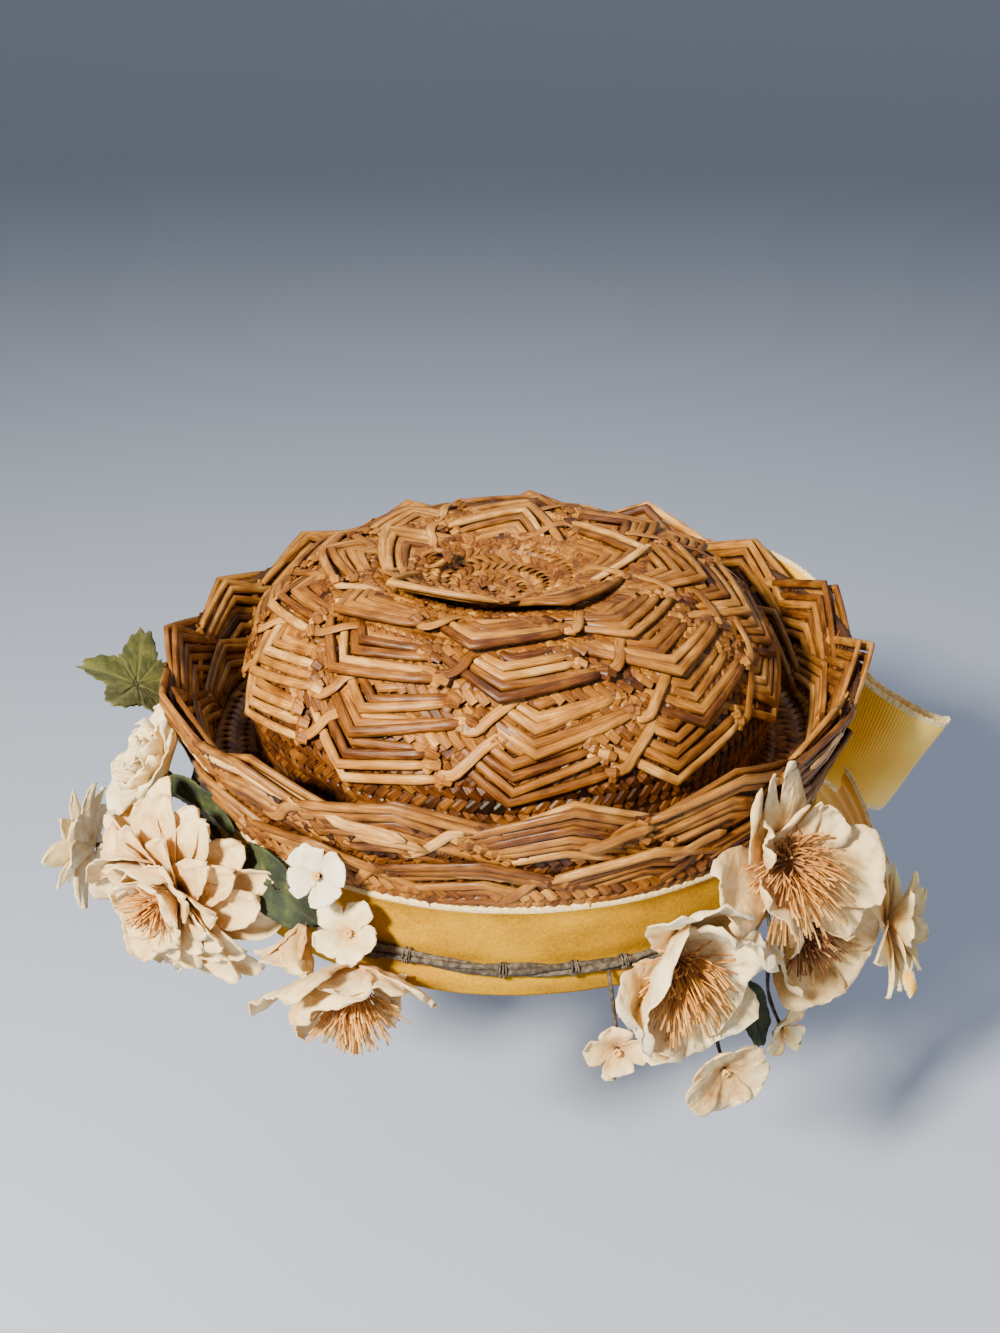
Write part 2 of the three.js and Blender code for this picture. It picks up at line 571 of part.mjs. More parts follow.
function leaf(row) {
  const mesh = named(row.name, new THREE.BufferGeometry(), LEAF);
  const along = heading(...row.points);
  const across = new THREE.Vector3(0, 0, 1).cross(place(row.azimuth, 1, 0)).normalize();
  across.addScaledVector(along, -across.dot(along)).normalize();
  const face = along.clone().cross(across);
  mesh.quaternion.setFromRotationMatrix(new THREE.Matrix4().makeBasis(along, across, face));
  mesh.position.copy(place(row.azimuth, row.radius, row.height));
  mesh.rotateX(radians(row.turn));
  mesh.updateMatrixWorld(true);
  mesh.geometry = fuse([leafGeometry(LEAF_KINDS[row.kind]), stalk(mesh, row.meets)]);
  mesh.geometry.computeVertexNormals();
  return mesh;
}

const bonnet = new THREE.Group();
bonnet.add(
  named("crown", crownGeometry(), STRAW),
  named("brim", brimGeometry(), STRAW),
  named("velvet_band", bandGeometry(), VELVET),
  named("garland_stem", stemGeometry(), STEM),
  named("bow_loop", ribbon(BOW_LOOP), VELVET),
  named("bow_knot", knotGeometry(), VELVET),
  named("ribbon_tail", ribbon(TAIL), VELVET),
  ...GARLAND.map(flower),
  ...BRUSHES.map(stamens),
  ...LEAVES.map(leaf),
);

export default bonnet;
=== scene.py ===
import json
import random
from bisect import bisect_right
from math import atan2, copysign, cos, degrees, pi, radians, sin, sqrt, tau

import bpy
from mathutils import Matrix, Vector, noise

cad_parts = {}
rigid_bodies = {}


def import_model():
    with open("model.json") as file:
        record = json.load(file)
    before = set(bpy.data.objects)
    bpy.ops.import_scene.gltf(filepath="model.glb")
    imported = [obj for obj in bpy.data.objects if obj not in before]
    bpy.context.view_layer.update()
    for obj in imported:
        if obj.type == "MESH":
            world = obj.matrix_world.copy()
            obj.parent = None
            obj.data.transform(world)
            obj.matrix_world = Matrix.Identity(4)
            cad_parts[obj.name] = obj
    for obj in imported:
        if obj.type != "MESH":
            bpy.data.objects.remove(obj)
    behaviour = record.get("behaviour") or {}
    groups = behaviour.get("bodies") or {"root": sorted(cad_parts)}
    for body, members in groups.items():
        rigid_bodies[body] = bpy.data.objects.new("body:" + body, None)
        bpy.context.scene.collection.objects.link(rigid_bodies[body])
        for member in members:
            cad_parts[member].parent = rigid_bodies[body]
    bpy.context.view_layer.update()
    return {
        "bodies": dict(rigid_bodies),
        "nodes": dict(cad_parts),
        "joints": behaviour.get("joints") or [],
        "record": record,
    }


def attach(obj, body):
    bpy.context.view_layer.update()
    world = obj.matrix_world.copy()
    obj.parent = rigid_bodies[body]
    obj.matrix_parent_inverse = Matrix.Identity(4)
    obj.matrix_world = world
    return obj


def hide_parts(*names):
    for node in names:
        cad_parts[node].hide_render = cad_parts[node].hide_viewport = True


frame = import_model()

# A small straw bonnet. The crown and the turned-up brim are sewn from pointed wheat-straw plait, a
# velvet ribbon with a bow goes round the foot of the brim, and a wired garland of silk flowers and
# leaves is tied round the front. Lengths here are in millimetres and MM turns them into metres.
# The front faces -Y, and an azimuth is in degrees from the front towards +X.

MM = 0.001
SEED = 41
UP = Vector((0, 0, 1))

# The bonnet's main sizes
RIM_RADIUS = 115
RIM_HEIGHT = 70
CROWN_RADIUS = 87.5
CROWN_TOP = 90
BAND_RADIUS = 103.4
BAND_HEIGHT = 32
STEM_RADIUS = 1.6
STEM_TRACK = BAND_RADIUS + STEM_RADIUS + 0.5

# The straw plait, laid flat
STRAW_WIDTH = 3.2
STRAW_THICK = 2.0
POINT_PITCH = 48  # from one point of the plait to the next
PLAIT_WIDTH = 22  # from the tips of its points to its braided edge
BRAID_WIDTH = 3.2
BRAID_PITCH = 3.9
BRAID_ROW = 3.5
PAINTED_UNDER_SHADE = 0.26  # how dark the braids under the rows are painted, as painted shade, where 0.5 is the usual tone


def place(azimuth, radius, height):
    """The point at an azimuth, a radius and a height."""
    a = radians(azimuth)
    return Vector((radius * sin(a), -radius * cos(a), height))


def heading(azimuth, elevation):
    """The direction at an azimuth and an elevation above the horizon."""
    e = radians(elevation)
    return place(azimuth, cos(e), sin(e))


def leaning(lean, swing):
    """The direction that leans so far from +Z, with its lean swung so far from +X, in radians."""
    return Vector((sin(lean) * cos(swing), sin(lean) * sin(swing), cos(lean)))


def turns(count):
    """Angles all the way round, in radians."""
    return [i * tau / count for i in range(count)]


def mix(a, b, share):
    return a + (b - a) * share


def ease(share):
    share = min(max(share, 0), 1)
    return share * share * (3 - 2 * share)


def between(rows, at):
    """The values of a table's rows at a place in their first column, eased from row to row."""
    for low, high in zip(rows, rows[1:]):
        if at <= high[0] or high is rows[-1]:
            share = ease((at - low[0]) / (high[0] - low[0]))
            return [mix(a, b, share) for a, b in zip(low[1:], high[1:])]


def ripple(point, size, seed=0):
    """Smooth noise from -1 to 1 with features of about that size."""
    return noise.noise(point / size + Vector((seed * 7.3, seed * 3.1, seed * 5.7)))


def smooth_line(points, per_span):
    """Points on a smooth curve through the given ones, with so many steps in each span."""
    ends = [points[0]] + list(points) + [points[-1]]
    line = []
    for i in range(1, len(ends) - 2):
        a, b, c, d = ends[i - 1], ends[i], ends[i + 1], ends[i + 2]
        for k in range(per_span):
            t = k / per_span
            line.append(0.5 * ((2 * b) + (c - a) * t + (2 * a - 5 * b + 4 * c - d) * t * t
                               + (3 * b - a - 3 * c + d) * t ** 3))
    line.append(points[-1].copy())
    return line


class Draft:
    """The points and faces of one piece in the making, with what its material reads at each point."""

    def __init__(self):
        self.points = []
        self.faces = []
        self.readings = {"shade": [], "along": [], "across": []}
        self.crisp = set()  # the faces that keep their facets, as a fold does

    def add_point(self, point, shade=0.5, along=0.0, across=0.0):
        self.points.append(point * MM)
        for name, value in (("shade", shade), ("along", along), ("across", across)):
            self.readings[name].append(value)
        return len(self.points) - 1

    def add_rings(self, rings, closed_ends=True):
        """Faces between rings of point numbers, and over the two end rings."""
        for a, b in zip(rings, rings[1:]):
            size = len(a)
            self.faces += [(a[j], a[(j + 1) % size], b[(j + 1) % size], b[j]) for j in range(size)]
        if closed_ends:
            self.faces += [tuple(reversed(rings[0])), tuple(rings[-1])]

    def add_sheet(self, rows):
        """Faces between rows of point numbers."""
        for a, b in zip(rows, rows[1:]):
            self.faces += [(a[j], a[j + 1], b[j + 1], b[j]) for j in range(len(a) - 1)]


def make_piece(name, draft, materials, nodes=(), picks=None):
    """The piece as an object that rides on the bonnet and stands for its CAD nodes."""
    mesh = bpy.data.meshes.new(name)
    mesh.from_pydata(draft.points, [], draft.faces)
    for reading, values in draft.readings.items():
        mesh.attributes.new(reading, "FLOAT", "POINT").data.foreach_set("value", values)
    mesh.polygons.foreach_set("use_smooth", [i not in draft.crisp for i in range(len(mesh.polygons))])
    for material in materials:
        mesh.materials.append(material)
    if picks:
        mesh.polygons.foreach_set("material_index", picks)
    mesh.update()
    piece = bpy.data.objects.new(name, mesh)
    bpy.context.scene.collection.objects.link(piece)
    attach(piece, "root")
    if nodes:
        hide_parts(*nodes)
    return piece


def thicken(piece, thickness):
    """Gives a sheet its thickness, half to each side."""
    wall = piece.modifiers.new("thickness", "SOLIDIFY")
    wall.thickness = thickness * MM
    wall.offset = 0


# Camera

CAMERA_PLACE = (-3.634, -432.338, 276.215)
CAMERA_DIP = 27.258  # degrees below the horizon
CAMERA_LENS = 39.16
CAMERA_FRAME = 36


def set_camera():
    data = bpy.data.cameras.new("camera")
    data.sensor_width = CAMERA_FRAME
    data.lens = CAMERA_LENS
    data.clip_start = 10 * MM
    camera = bpy.data.objects.new("camera", data)
    camera.location = Vector(CAMERA_PLACE) * MM
    camera.rotation_euler = (radians(90 - CAMERA_DIP), 0, 0)
    bpy.context.scene.collection.objects.link(camera)
    bpy.context.scene.camera = camera


# Materials


def linear(code):
    """An sRGB hex colour as linear red, green, blue and alpha."""
    parts = [int(code[i:i + 2], 16) / 255 for i in (1, 3, 5)]
    return tuple(c / 12.92 if c <= 0.04045 else ((c + 0.055) / 1.055) ** 2.4 for c in parts) + (1.0,)


class Look:
    """A material in the making: its shader, whose constant values are set on the shader's own
    sockets, and the nodes in front of it."""

    def __init__(self, name, **constants):
        self.material = bpy.data.materials.new(name)
        self.material.use_nodes = True
        self.tree = self.material.node_tree
        self.shader = self.tree.nodes["Principled BSDF"]
        for key, value in constants.items():
            self.shader.inputs[key.replace("_", " ")].default_value = value

    def add(self, kind, inputs, **settings):
        """Adds a node with its settings, and with values or links for its inputs."""
        new = self.tree.nodes.new(kind)
        for key, value in settings.items():
            setattr(new, key, value)
        for key, value in inputs.items():
            if isinstance(value, bpy.types.NodeSocket):
                self.tree.links.new(value, new.inputs[key])
            else:
                new.inputs[key].default_value = value
        return new.outputs

    def read(self, name):
        """What the piece carries at each point under that name."""
        return self.add("ShaderNodeAttribute", {}, attribute_name=name)["Fac"]

    def ramp(self, value, stops):
        """A colour read from (position, hex colour) stops."""
        colour = self.add("ShaderNodeValToRGB", {"Fac": value})["Color"]
        elements = colour.node.color_ramp.elements
        while len(elements) < len(stops):
            elements.new(0.5)
        for element, (position, code) in zip(elements, stops):
            element.position = position
            element.color = linear(code)
        return colour

    def grain(self, size_mm, detail=2.0, stretch=(1, 1, 1)):
        """Noise whose features are about that size, in the object's own space."""
        space = self.add("ShaderNodeTexCoord", {})["Object"]
        lay = self.add("ShaderNodeMapping", {"Vector": space, "Scale": stretch})["Vector"]
        return self.noise(lay, 1 / (size_mm * MM), detail)

    def noise(self, lay, scale, detail):
        return self.add("ShaderNodeTexNoise", {"Vector": lay, "Scale": scale, "Detail": detail})["Fac"]

    def work(self, operation, a, b=0.5, c=0.5):
        """A sum on values."""
        return self.add("ShaderNodeMath", {0: a, 1: b, 2: c}, operation=operation)[0]

    def scale(self, value, gain, offset=0.0):
        return self.work("MULTIPLY_ADD", value, gain, offset)

    def vary(self, tone, value, gain):
        """A tone raised where a value is over a half and lowered where it is under."""
        return self.work("ADD", tone, self.work("MULTIPLY", self.work("SUBTRACT", value), gain))

    def tint(self, base, code, factor):
        """A colour with another laid over it by a factor."""
        return self.add("ShaderNodeMix", {0: factor, 6: base, 7: linear(code)}, data_type="RGBA")[2]

    def edge(self, power, share):
        """A share that grows towards both edges of the piece."""
        off = self.work("POWER", self.work("ABSOLUTE", self.read("across")), power)
        return self.work("MULTIPLY", off, share)

    def finish(self, colour, relief, depth_mm, strength, roughness=None):
        """Sets the colour and the bump, and gives the material."""
        bump = self.add("ShaderNodeBump", {"Height": relief, "Distance": depth_mm * MM, "Strength": strength})
        for key, value in (("Normal", bump["Normal"]), ("Base Color", colour), ("Roughness", roughness)):
            if value:
                self.tree.links.new(value, self.shader.inputs[key])
        return self.material


def straw_material(name, stops, roughness):
    """Split wheat straw, flattened and plaited dry. Its waxy skin gives long soft highlights, and
    each straw ripened to its own colour, with fibre lines along it and brown edges."""
    look = Look(name, IOR=1.5, Specular_IOR_Level=0.28)
    shade = look.read("shade")
    # Fibres are about 0.1 mm apart. They are drawn as streaks 0.4 mm wide, so that they show.
    lay = look.add("ShaderNodeCombineXYZ", {
        "X": look.read("across"),
        "Y": look.work("MULTIPLY", look.read("along"), 0.04),
        "Z": look.work("MULTIPLY", shade, 40.0),
    })[0]
    fibre = look.noise(lay, 4.0, 3.0)
    tone = look.vary(look.vary(shade, fibre, 0.55), look.grain(9, 3), 0.5)
    colour = look.tint(look.ramp(tone, stops), stops[0][1], look.edge(4.0, 0.5))
    return look.finish(colour, fibre, 0.25, 0.6, look.scale(fibre, 0.3, roughness - 0.15))


def velvet_material():
    """Cotton velvet, woven with a cut pile. It is deep in colour face on and pale at a glancing
    angle, and rubbed places lie lighter."""
    look = Look("yellow_velvet", Roughness=0.9, IOR=1.45, Specular_IOR_Level=0.15, Sheen_Weight=0.06,
                Sheen_Roughness=0.35, Sheen_Tint=linear("#F6D870"))
    pile = look.grain(0.9)
    tone = look.vary(look.scale(look.grain(16, 3, (1, 1, 1.6)), 0.4, 0.32), pile, 0.3)
    colour = look.ramp(tone, [(0.25, "#6A4600"), (0.42, "#966A00"), (0.56, "#B48400"), (0.75, "#D2A408")])
    # Painted shade: the velvet is tinted darker where its 'shade' reading is under a half, where the band
    # lies farther in, as in the groove under the stem, and in the hollows of the knot's pleats.
    colour = look.tint(colour, "#8C5F14", look.work("SUBTRACT", 0.5, look.read("shade")))
    return look.finish(colour, pile, 0.25, 0.5)


def ribbon_back_material():
    """The velvet ribbon's back, a close silk rep. Fine cords run across it and shine in bands."""
    look = Look("ribbon_rep", IOR=1.5, Sheen_Weight=0.1, Sheen_Roughness=0.3, Sheen_Tint=linear("#FFE9A0"))
    # The cords are 0.5 mm apart. They are drawn 1 mm apart, so that they show.
    skewed = look.work("MULTIPLY_ADD", look.read("across"), 0.12, look.read("along"))
    lay = look.add("ShaderNodeCombineXYZ", {"X": skewed})[0]
    wave = {"Vector": lay, "Scale": 0.31, "Distortion": 0.3, "Detail": 1.0}
    cords = look.add("ShaderNodeTexWave", wave)["Fac"]
    tone = look.work("ADD", look.work("MULTIPLY", cords, 0.1), look.scale(look.grain(22), 0.4, 0.32))
    # Painted light and shade: the 'shade' reading from lay_ribbon makes the rep paler or darker.
    tone = look.vary(tone, look.read("shade"), 0.9)
    colour = look.ramp(tone, [(0.22, "#BC7402"), (0.45, "#E29C08"), (0.65, "#F6C434"), (0.9, "#FCE088")])
    return look.finish(colour, cords, 0.2, 0.4, look.scale(cords, 0.12, 0.38))


def selvage_material():
    """The ribbon's woven edge, cotton picots left nearly undyed, matte and a little fuzzy."""
    look = Look("ribbon_selvage", Roughness=0.9, IOR=1.45, Sheen_Weight=0.3)
    fuzz = look.grain(1.2, 3)
    colour = look.ramp(fuzz, [(0.3, "#C9A860"), (0.55, "#E3CB90"), (0.75, "#F2E4BC")])
    return look.finish(colour, fuzz, 0.3, 0.7)


def petal_material(name, stops, blush):
    """Thin silk, starched, cut and pressed warm with a tool. It is matte with a slight sheen, darker towards
    the heart and in patches, and browned at its edges."""
    look = Look(name, Roughness=0.62, IOR=1.45, Sheen_Weight=0.1, Sheen_Roughness=0.4,
                Subsurface_Weight=0.12, Subsurface_Scale=0.002, Subsurface_Radius=(1.0, 0.7, 0.45))
    mottle = look.grain(3, 3)
    # The silk's threads are 0.15 mm apart. They are drawn 0.5 mm apart, so that they show.
    weave = look.grain(0.5, 1)
    cloud = look.work("MULTIPLY", look.grain(11, 4), 0.56)
    tone = look.vary(look.work("ADD", look.work("MULTIPLY", look.read("along"), 0.34), cloud), mottle, 0.4)
    colour = look.tint(look.ramp(tone, stops), blush, look.edge(6.0, 0.35))
    crumple = look.work("ABSOLUTE", look.work("SUBTRACT", look.grain(6, 4)))
    relief = look.work("MULTIPLY_ADD", crumple, -4.0, look.scale(weave, 0.35, mottle))
    return look.finish(colour, relief, 0.45, 0.6)


def stamen_material(name, dark, light):
    """Stiffened cotton thread, dyed, with a paler dab at each tip."""
    look = Look(name, Roughness=0.7, IOR=1.45, Sheen_Weight=0.2)
    tone = look.scale(look.read("shade"), 0.4, look.work("MULTIPLY", look.read("along"), 0.7))
    colour = look.ramp(tone, [(0.1, dark), (0.75, light), (1.0, "#E0AE60")])
    return look.finish(colour, look.grain(0.6), 0.1, 0.4)


def leaf_material(name, stops, vein):
    """Cotton velvet and muslin leaves, stiffened and pressed with veins, faded in patches."""
    look = Look(name, Roughness=0.78, IOR=1.45, Sheen_Weight=0.12, Sheen_Roughness=0.4,
                Sheen_Tint=linear("#C9C48A"))
    cloud = look.grain(7, 4)
    nap = look.grain(0.7)
    colour = look.ramp(look.vary(cloud, nap, 0.3), stops)
    colour = look.tint(colour, vein, look.work("MULTIPLY", look.read("shade"), 0.6))
    return look.finish(colour, look.work("ADD", nap, cloud), 0.25, 0.6)


def wire_material():
    """Florist's wire bound in grey-brown crepe paper and thread, dull and worn."""
    look = Look("bound_wire", Roughness=0.85, IOR=1.45)
    wrap = look.grain(1.6, 4)
    tone = look.work("ADD", wrap, look.work("MULTIPLY", look.read("shade"), 0.25))
    colour = look.ramp(tone, [(0.35, "#1A150E"), (0.6, "#3E352A"), (0.85, "#6C6254")])
    return look.finish(colour, wrap, 0.3, 0.8)


def bud_material():
    """A bud of cotton dipped in wax, smooth, off-white and a little clear."""
    look = Look("waxed_bud", Roughness=0.28, IOR=1.44, Subsurface_Weight=0.3, Subsurface_Scale=0.002)
    colour = look.ramp(look.grain(3, 3), [(0.3, "#D9D3C4"), (0.7, "#F1EEE6")])
    return look.finish(colour, look.grain(1.2), 0.05, 0.4)


# Straw plait

# The crown's meridian, radius and height, from its sunken tip to its foot inside the brim.
CROWN_MERIDIAN = [
    (0, CROWN_TOP - 9),
    (14, CROWN_TOP - 8),
    (27, CROWN_TOP - 3),
    (47, CROWN_TOP - 0.5),
    (63, CROWN_TOP - 4.5),
    (75, CROWN_TOP - 12),
    (83, CROWN_TOP - 23),
    (CROWN_RADIUS - 1, CROWN_TOP - 33),
    (CROWN_RADIUS - 2, CROWN_TOP - 46),
    (CROWN_RADIUS - 2, BAND_HEIGHT + 1.4),
]
TIP_SHIFT = -5  # the innermost row is sewn off centre, towards -X

MERIDIAN = smooth_line([Vector((r, h, 0)) for r, h in CROWN_MERIDIAN], 12)
MERIDIAN_STEPS = [0]
for before, after in zip(MERIDIAN, MERIDIAN[1:]):
    MERIDIAN_STEPS.append(MERIDIAN_STEPS[-1] + (after - before).length)
CROWN_FALL = MERIDIAN_STEPS[-1]  # the length of the meridian from tip to foot


def on_meridian(distance):
    """The radius and height at a distance along the meridian, and which way it runs there."""
    distance = min(max(distance, 0.0), CROWN_FALL - 1e-6)
    low = bisect_right(MERIDIAN_STEPS, distance) - 1
    start, end = MERIDIAN[low], MERIDIAN[low + 1]
    share = (distance - MERIDIAN_STEPS[low]) / (MERIDIAN_STEPS[low + 1] - MERIDIAN_STEPS[low])
    return start.lerp(end, share), (end - start).normalized()


def on_crown(distance, azimuth, offset):
    """A point that stands off the crown, at a distance along the meridian and an azimuth."""
    at, along = on_meridian(distance)
    point = place(azimuth, at.x - along.y * offset, at.y + along.x * offset)
    point.x += TIP_SHIFT * ease(1 - at.x / CROWN_RADIUS)
    return point


# The rim's departure from a level circle all the way round: azimuth, out, up.
RIM_WAVE = [
    (-200, 0, 2),
    (-160, -1, 0),
    (-136, -3, -3),
    (-112, -4, -4),
    (-88, -3, -1),
    (-60, 0.5, 0),
    (-30, 1, -2),
    (0, 0, 0),
    (90, 0, 0),
    (130, 0, -1),
    (160, 0, 2),
    (200, -1, 0),
]


def rim_wave(azimuth):
    """How far the rim leans out and is lifted at an azimuth."""
    return between(RIM_WAVE, (azimuth + 180) % 360 - 180)


# The brim's wall, outside and inside: radius and height from the rim's tips down to the foot.
BRIM_OUTSIDE = [(RIM_RADIUS + 0.5, RIM_HEIGHT + 1), (111.5, 58), (108, 47), (104.6, BAND_HEIGHT + 1)]
BRIM_INSIDE = [(RIM_RADIUS - 1.0, RIM_HEIGHT + 1), (108.5, 56), (104.5, 44), (100, BAND_HEIGHT + 2.2)]
BRIM_FALL = 41  # the length of the wall from tip to foot
SECOND_ROW = 10  # the rows whose tips are farther below the rim than this are the lower ones


def on_brim(distance, azimuth, offset, inside):
    """A point on the brim's wall at a distance down from the rim's tips."""
    profile = BRIM_INSIDE if inside else BRIM_OUTSIDE
    share = min(max(distance / BRIM_FALL, 0), 1) * (len(profile) - 1)
    step = min(int(share), len(profile) - 2)
    radius = mix(profile[step][0], profile[step + 1][0], share - step)
    height = mix(profile[step][1], profile[step + 1][1], share - step)
    lean, lift = rim_wave(azimuth)
    near_rim = 1 - min(distance / BRIM_FALL, 1)
    out = -offset if inside else offset
    return place(azimuth, radius + lean * near_rim + out * 0.95, height + lift * near_rim - out * 0.3)


def crown_row(edge, turn, lap, front_lift=0.0):
    """Where the plait of one crown row lies: x along it, and depth in from the tips of its points."""
    edge_radius = on_meridian(edge)[0].x

    def at(x, depth, height):
        azimuth = turn + degrees(x / edge_radius)
        lifted = lap + front_lift * max(0, cos(radians(azimuth + 15))) ** 2
        offset = mix(min(lap, 0.2), lifted, max(0, 1 - depth / PLAIT_WIDTH))
        return on_crown(edge - depth, azimuth, offset + height)

    return at, tau * edge_radius


def brim_row(fall, turn, lap, inside=False):
    """Where the plait of one brim row lies. Outside it runs the other way, with its points up."""
    radius = RIM_RADIUS if fall < SECOND_ROW else RIM_RADIUS - 5
    way = 1 if inside else -1

    def at(x, depth, height):
        azimuth = turn + way * degrees(x / radius)
        offset = mix(min(lap, 0.1), lap, max(0, 1 - depth / PLAIT_WIDTH))
        return on_brim(fall + depth, azimuth, offset + height, inside)

    return at, tau * radius


# A straw's rounded flat section: across from -1 to 1, and height from -1 to 1.
STRAW_SECTION = [(-1, -0.3), (-0.92, 0.4), (-0.55, 0.92), (0.5, 1), (0.93, 0.35), (1, -0.3), (0, -0.5)]
BACK_SECTION = [(-1, -0.1), (0, 1), (1, -0.1), (0, -0.4)]
FOLD_SECTION = [(-1, 0), (-0.6, 0.9), (0.6, 0.9), (1, 0), (0, -0.3)]


def lay_straw(draft, line, ups, width, thick, shade, section=STRAW_SECTION, ends=0.7):
    """One flattened straw along a line of points, with the way up at each point."""
    rings = []
    run = 0
    last = len(line) - 1
    for i, (point, up) in enumerate(zip(line, ups)):
        before = (point - line[i - 1]).normalized() if i else None
        after = (line[i + 1] - point).normalized() if i < last else None
        along = ((before or after) + (after or before)).normalized()
        side = along.cross(up).normalized()
        lift = side.cross(along)
        # A corner is mitred, so that the straw keeps its width through the fold.
        mitre = 1 / max(along.dot(after or along), 0.6)
        pinch = ends if i in (0, last) else 1
        run += (point - line[i - 1]).length if i else 0
        rings.append([draft.add_point(
            point + side * (a * width / 2 * pinch * mitre) + lift * (h * thick / 2 * pinch),
            shade, run, a) for a, h in section])
    first = len(draft.faces)
    draft.add_rings(rings)
    if section is FOLD_SECTION:
        draft.crisp.update(range(first, len(draft.faces)))


def surface_line(at, corners, steps, stiffness=0.55):
    """A line over a row through (x, depth, height) corners, nearly straight from corner to corner."""
    line, ups = [], []
    for (a, b), count in zip(zip(corners, corners[1:]), steps):
        start, end = at(*a), at(*b)
        first = 1 if line else 0
        for k in range(first, count + 1):
            share = k / count
            x, depth, height = (mix(p, q, share) for p, q in zip(a, b))
            curved = at(x, depth, height)
            line.append(curved.lerp(start.lerp(end, share), stiffness))
            over = at(x, depth, height + 1) - curved
            ups.append(over.normalized())
    return line, ups


# One point of the plait, laid flat: each straw comes down its first arm to the point's tip, folds, and
# runs along its second arm to the small folds that lock it. The arms' slopes are in degrees.
CROWN_ARMS = (34, 12)
BRIM_ARMS = (25, 18)
STRAW_PITCH = 3.25  # from the middle of one straw to the next one's
ARM_RUN = 30
ARM_LOSS = 2.9  # how much shorter each inner straw's second arm is
LONGEST_ARM = 38
FOLD_REACH = 2.6
STRAWS_IN_POINT = 6


def nest_step(arms):
    """From one straw's fold to the next one's, so that both arms lie side by side."""
    first, second = (radians(a) for a in arms)
    spread = STRAW_PITCH / sin(first + second)
    return spread * (cos(second) - cos(first)), spread * (sin(first) + sin(second))


def plait_point(draft, at, x0, stretch, dice, detail, arms):
    """The nested straws, the locking folds and the strap of one point of the plait."""
    arm_steps, section = (5, STRAW_SECTION) if detail else (2, BACK_SECTION)
    first, second = (radians(a) for a in arms)
    step_x, step_depth = nest_step(arms)
    skew = dice.uniform(-0.05, 0.05)
    for i in range(STRAWS_IN_POINT):
        tip_x = i * step_x + dice.gauss(0, 0.5)
        tip_depth = i * step_depth + dice.gauss(0, 0.3)
        fall = first + dice.gauss(0, 0.035)
        level = second + skew + dice.gauss(0, 0.03)
        first_run = min((PLAIT_WIDTH + 3 - tip_depth) / sin(first), LONGEST_ARM)
        second_run = ARM_RUN - ARM_LOSS * i + dice.uniform(-1.5, 2)
        height = dice.gauss(0, 0.4)
        corners = [
            (tip_x - first_run * cos(fall), tip_depth + first_run * sin(fall), height - 0.4),
            (tip_x, tip_depth, height + dice.uniform(0.1, 0.9)),
            (tip_x + second_run, tip_depth + second_run * sin(level),
             height + dice.uniform(-0.3, 0.5)),
        ]
        corners = [(x0 + x * stretch, d, h) for x, d, h in corners]
        line, ups = surface_line(at, corners, (arm_steps, arm_steps))
        width = STRAW_WIDTH * dice.uniform(0.86, 1.06)
        lay_straw(draft, line, ups, width, STRAW_THICK * dice.uniform(0.8, 1.2),
                  min(max(dice.gauss(0.5, 0.12), 0.26), 0.82), section)
        if detail:
            locking_fold(draft, at, corners[-1], stretch, dice)
    if detail:
        strap(draft, at, x0, stretch, dice, second)


def locking_fold(draft, at, end, stretch, dice):
    """The two short twisted folds that lock a level arm to the next straw."""
    x, depth, height = end
    for lean, rise in ((62, 0.5), (-14, 1.0)):
        a = radians(lean + dice.uniform(-14, 14))
        dx, dd = FOLD_REACH * cos(a), FOLD_REACH * sin(a)
        corners = [(x - dx * stretch, depth - dd, height), (x, depth, height + rise),
                   (x + dx * stretch, depth + dd, height - 0.1)]
        line, ups = surface_line(at, corners, (1, 1), 0)
        lay_straw(draft, line, ups, 3.0, 1.0, dice.gauss(0.47, 0.1), FOLD_SECTION, 0.85)


def strap(draft, at, x0, stretch, dice, slope):
    """The flat straw that locks a point and crosses over the next one's first arms."""
    sway = dice.uniform(-2.5, 2.5)
    start = 1.5 + ARM_RUN * sin(slope) * 0.8
    run = [(-1, 0, 0.1), (3, 0.2, 0.5), (6.5, 3.4, 0.9), (10 + sway, 7.5, 1.1), (14 + sway, 10.5, 1.0),
           (18, 12.5, 0.3)]
    corners = smooth_line([Vector((x0 + (ARM_RUN + x) * stretch, start + d, h + dice.uniform(-0.1, 0.15)))
                           for x, d, h in run], 3)
    line, ups = surface_line(at, corners, [1] * (len(corners) - 1), 0)
    lay_straw(draft, line, ups, 3.4, 0.6, dice.gauss(0.58, 0.08))


def braided_edge(draft, at, length, depth, rows, dice, tone=0.44):
    """The fine braid along the plait's inner edge: short flat folds that cross in herringbone."""
    count = round(length / BRAID_PITCH)
    pitch = length / count
    for row in range(rows):
        lean = 1 if row % 2 else -1
        d = depth + row * BRAID_ROW
        for i in range(count):
            x = i * pitch
            corners = [(x - 2.0, d - 2.2 * lean, -0.1), (x - 0.3, d - 0.4 * lean, 1.0),
                       (x + 2.4, d + 2.3 * lean, 0.1)]
            line, ups = surface_line(at, corners, (1, 1), 0)
            lay_straw(draft, line, ups, BRAID_WIDTH, 1.2, dice.gauss(tone, 0.08), FOLD_SECTION, 0.9)


def plait_row(draft, row, points, dice, detail=True, braid=3, arms=CROWN_ARMS):
    """One row of plait all the way round, with its points and its braided edge."""
    at, length = row
    pitch = length / points
    for k in range(points):
        plait_point(draft, at, k * pitch, pitch / POINT_PITCH, dice, detail, arms)
    if braid:
        braided_edge(draft, at, length, PLAIT_WIDTH - 5.5, braid, dice)


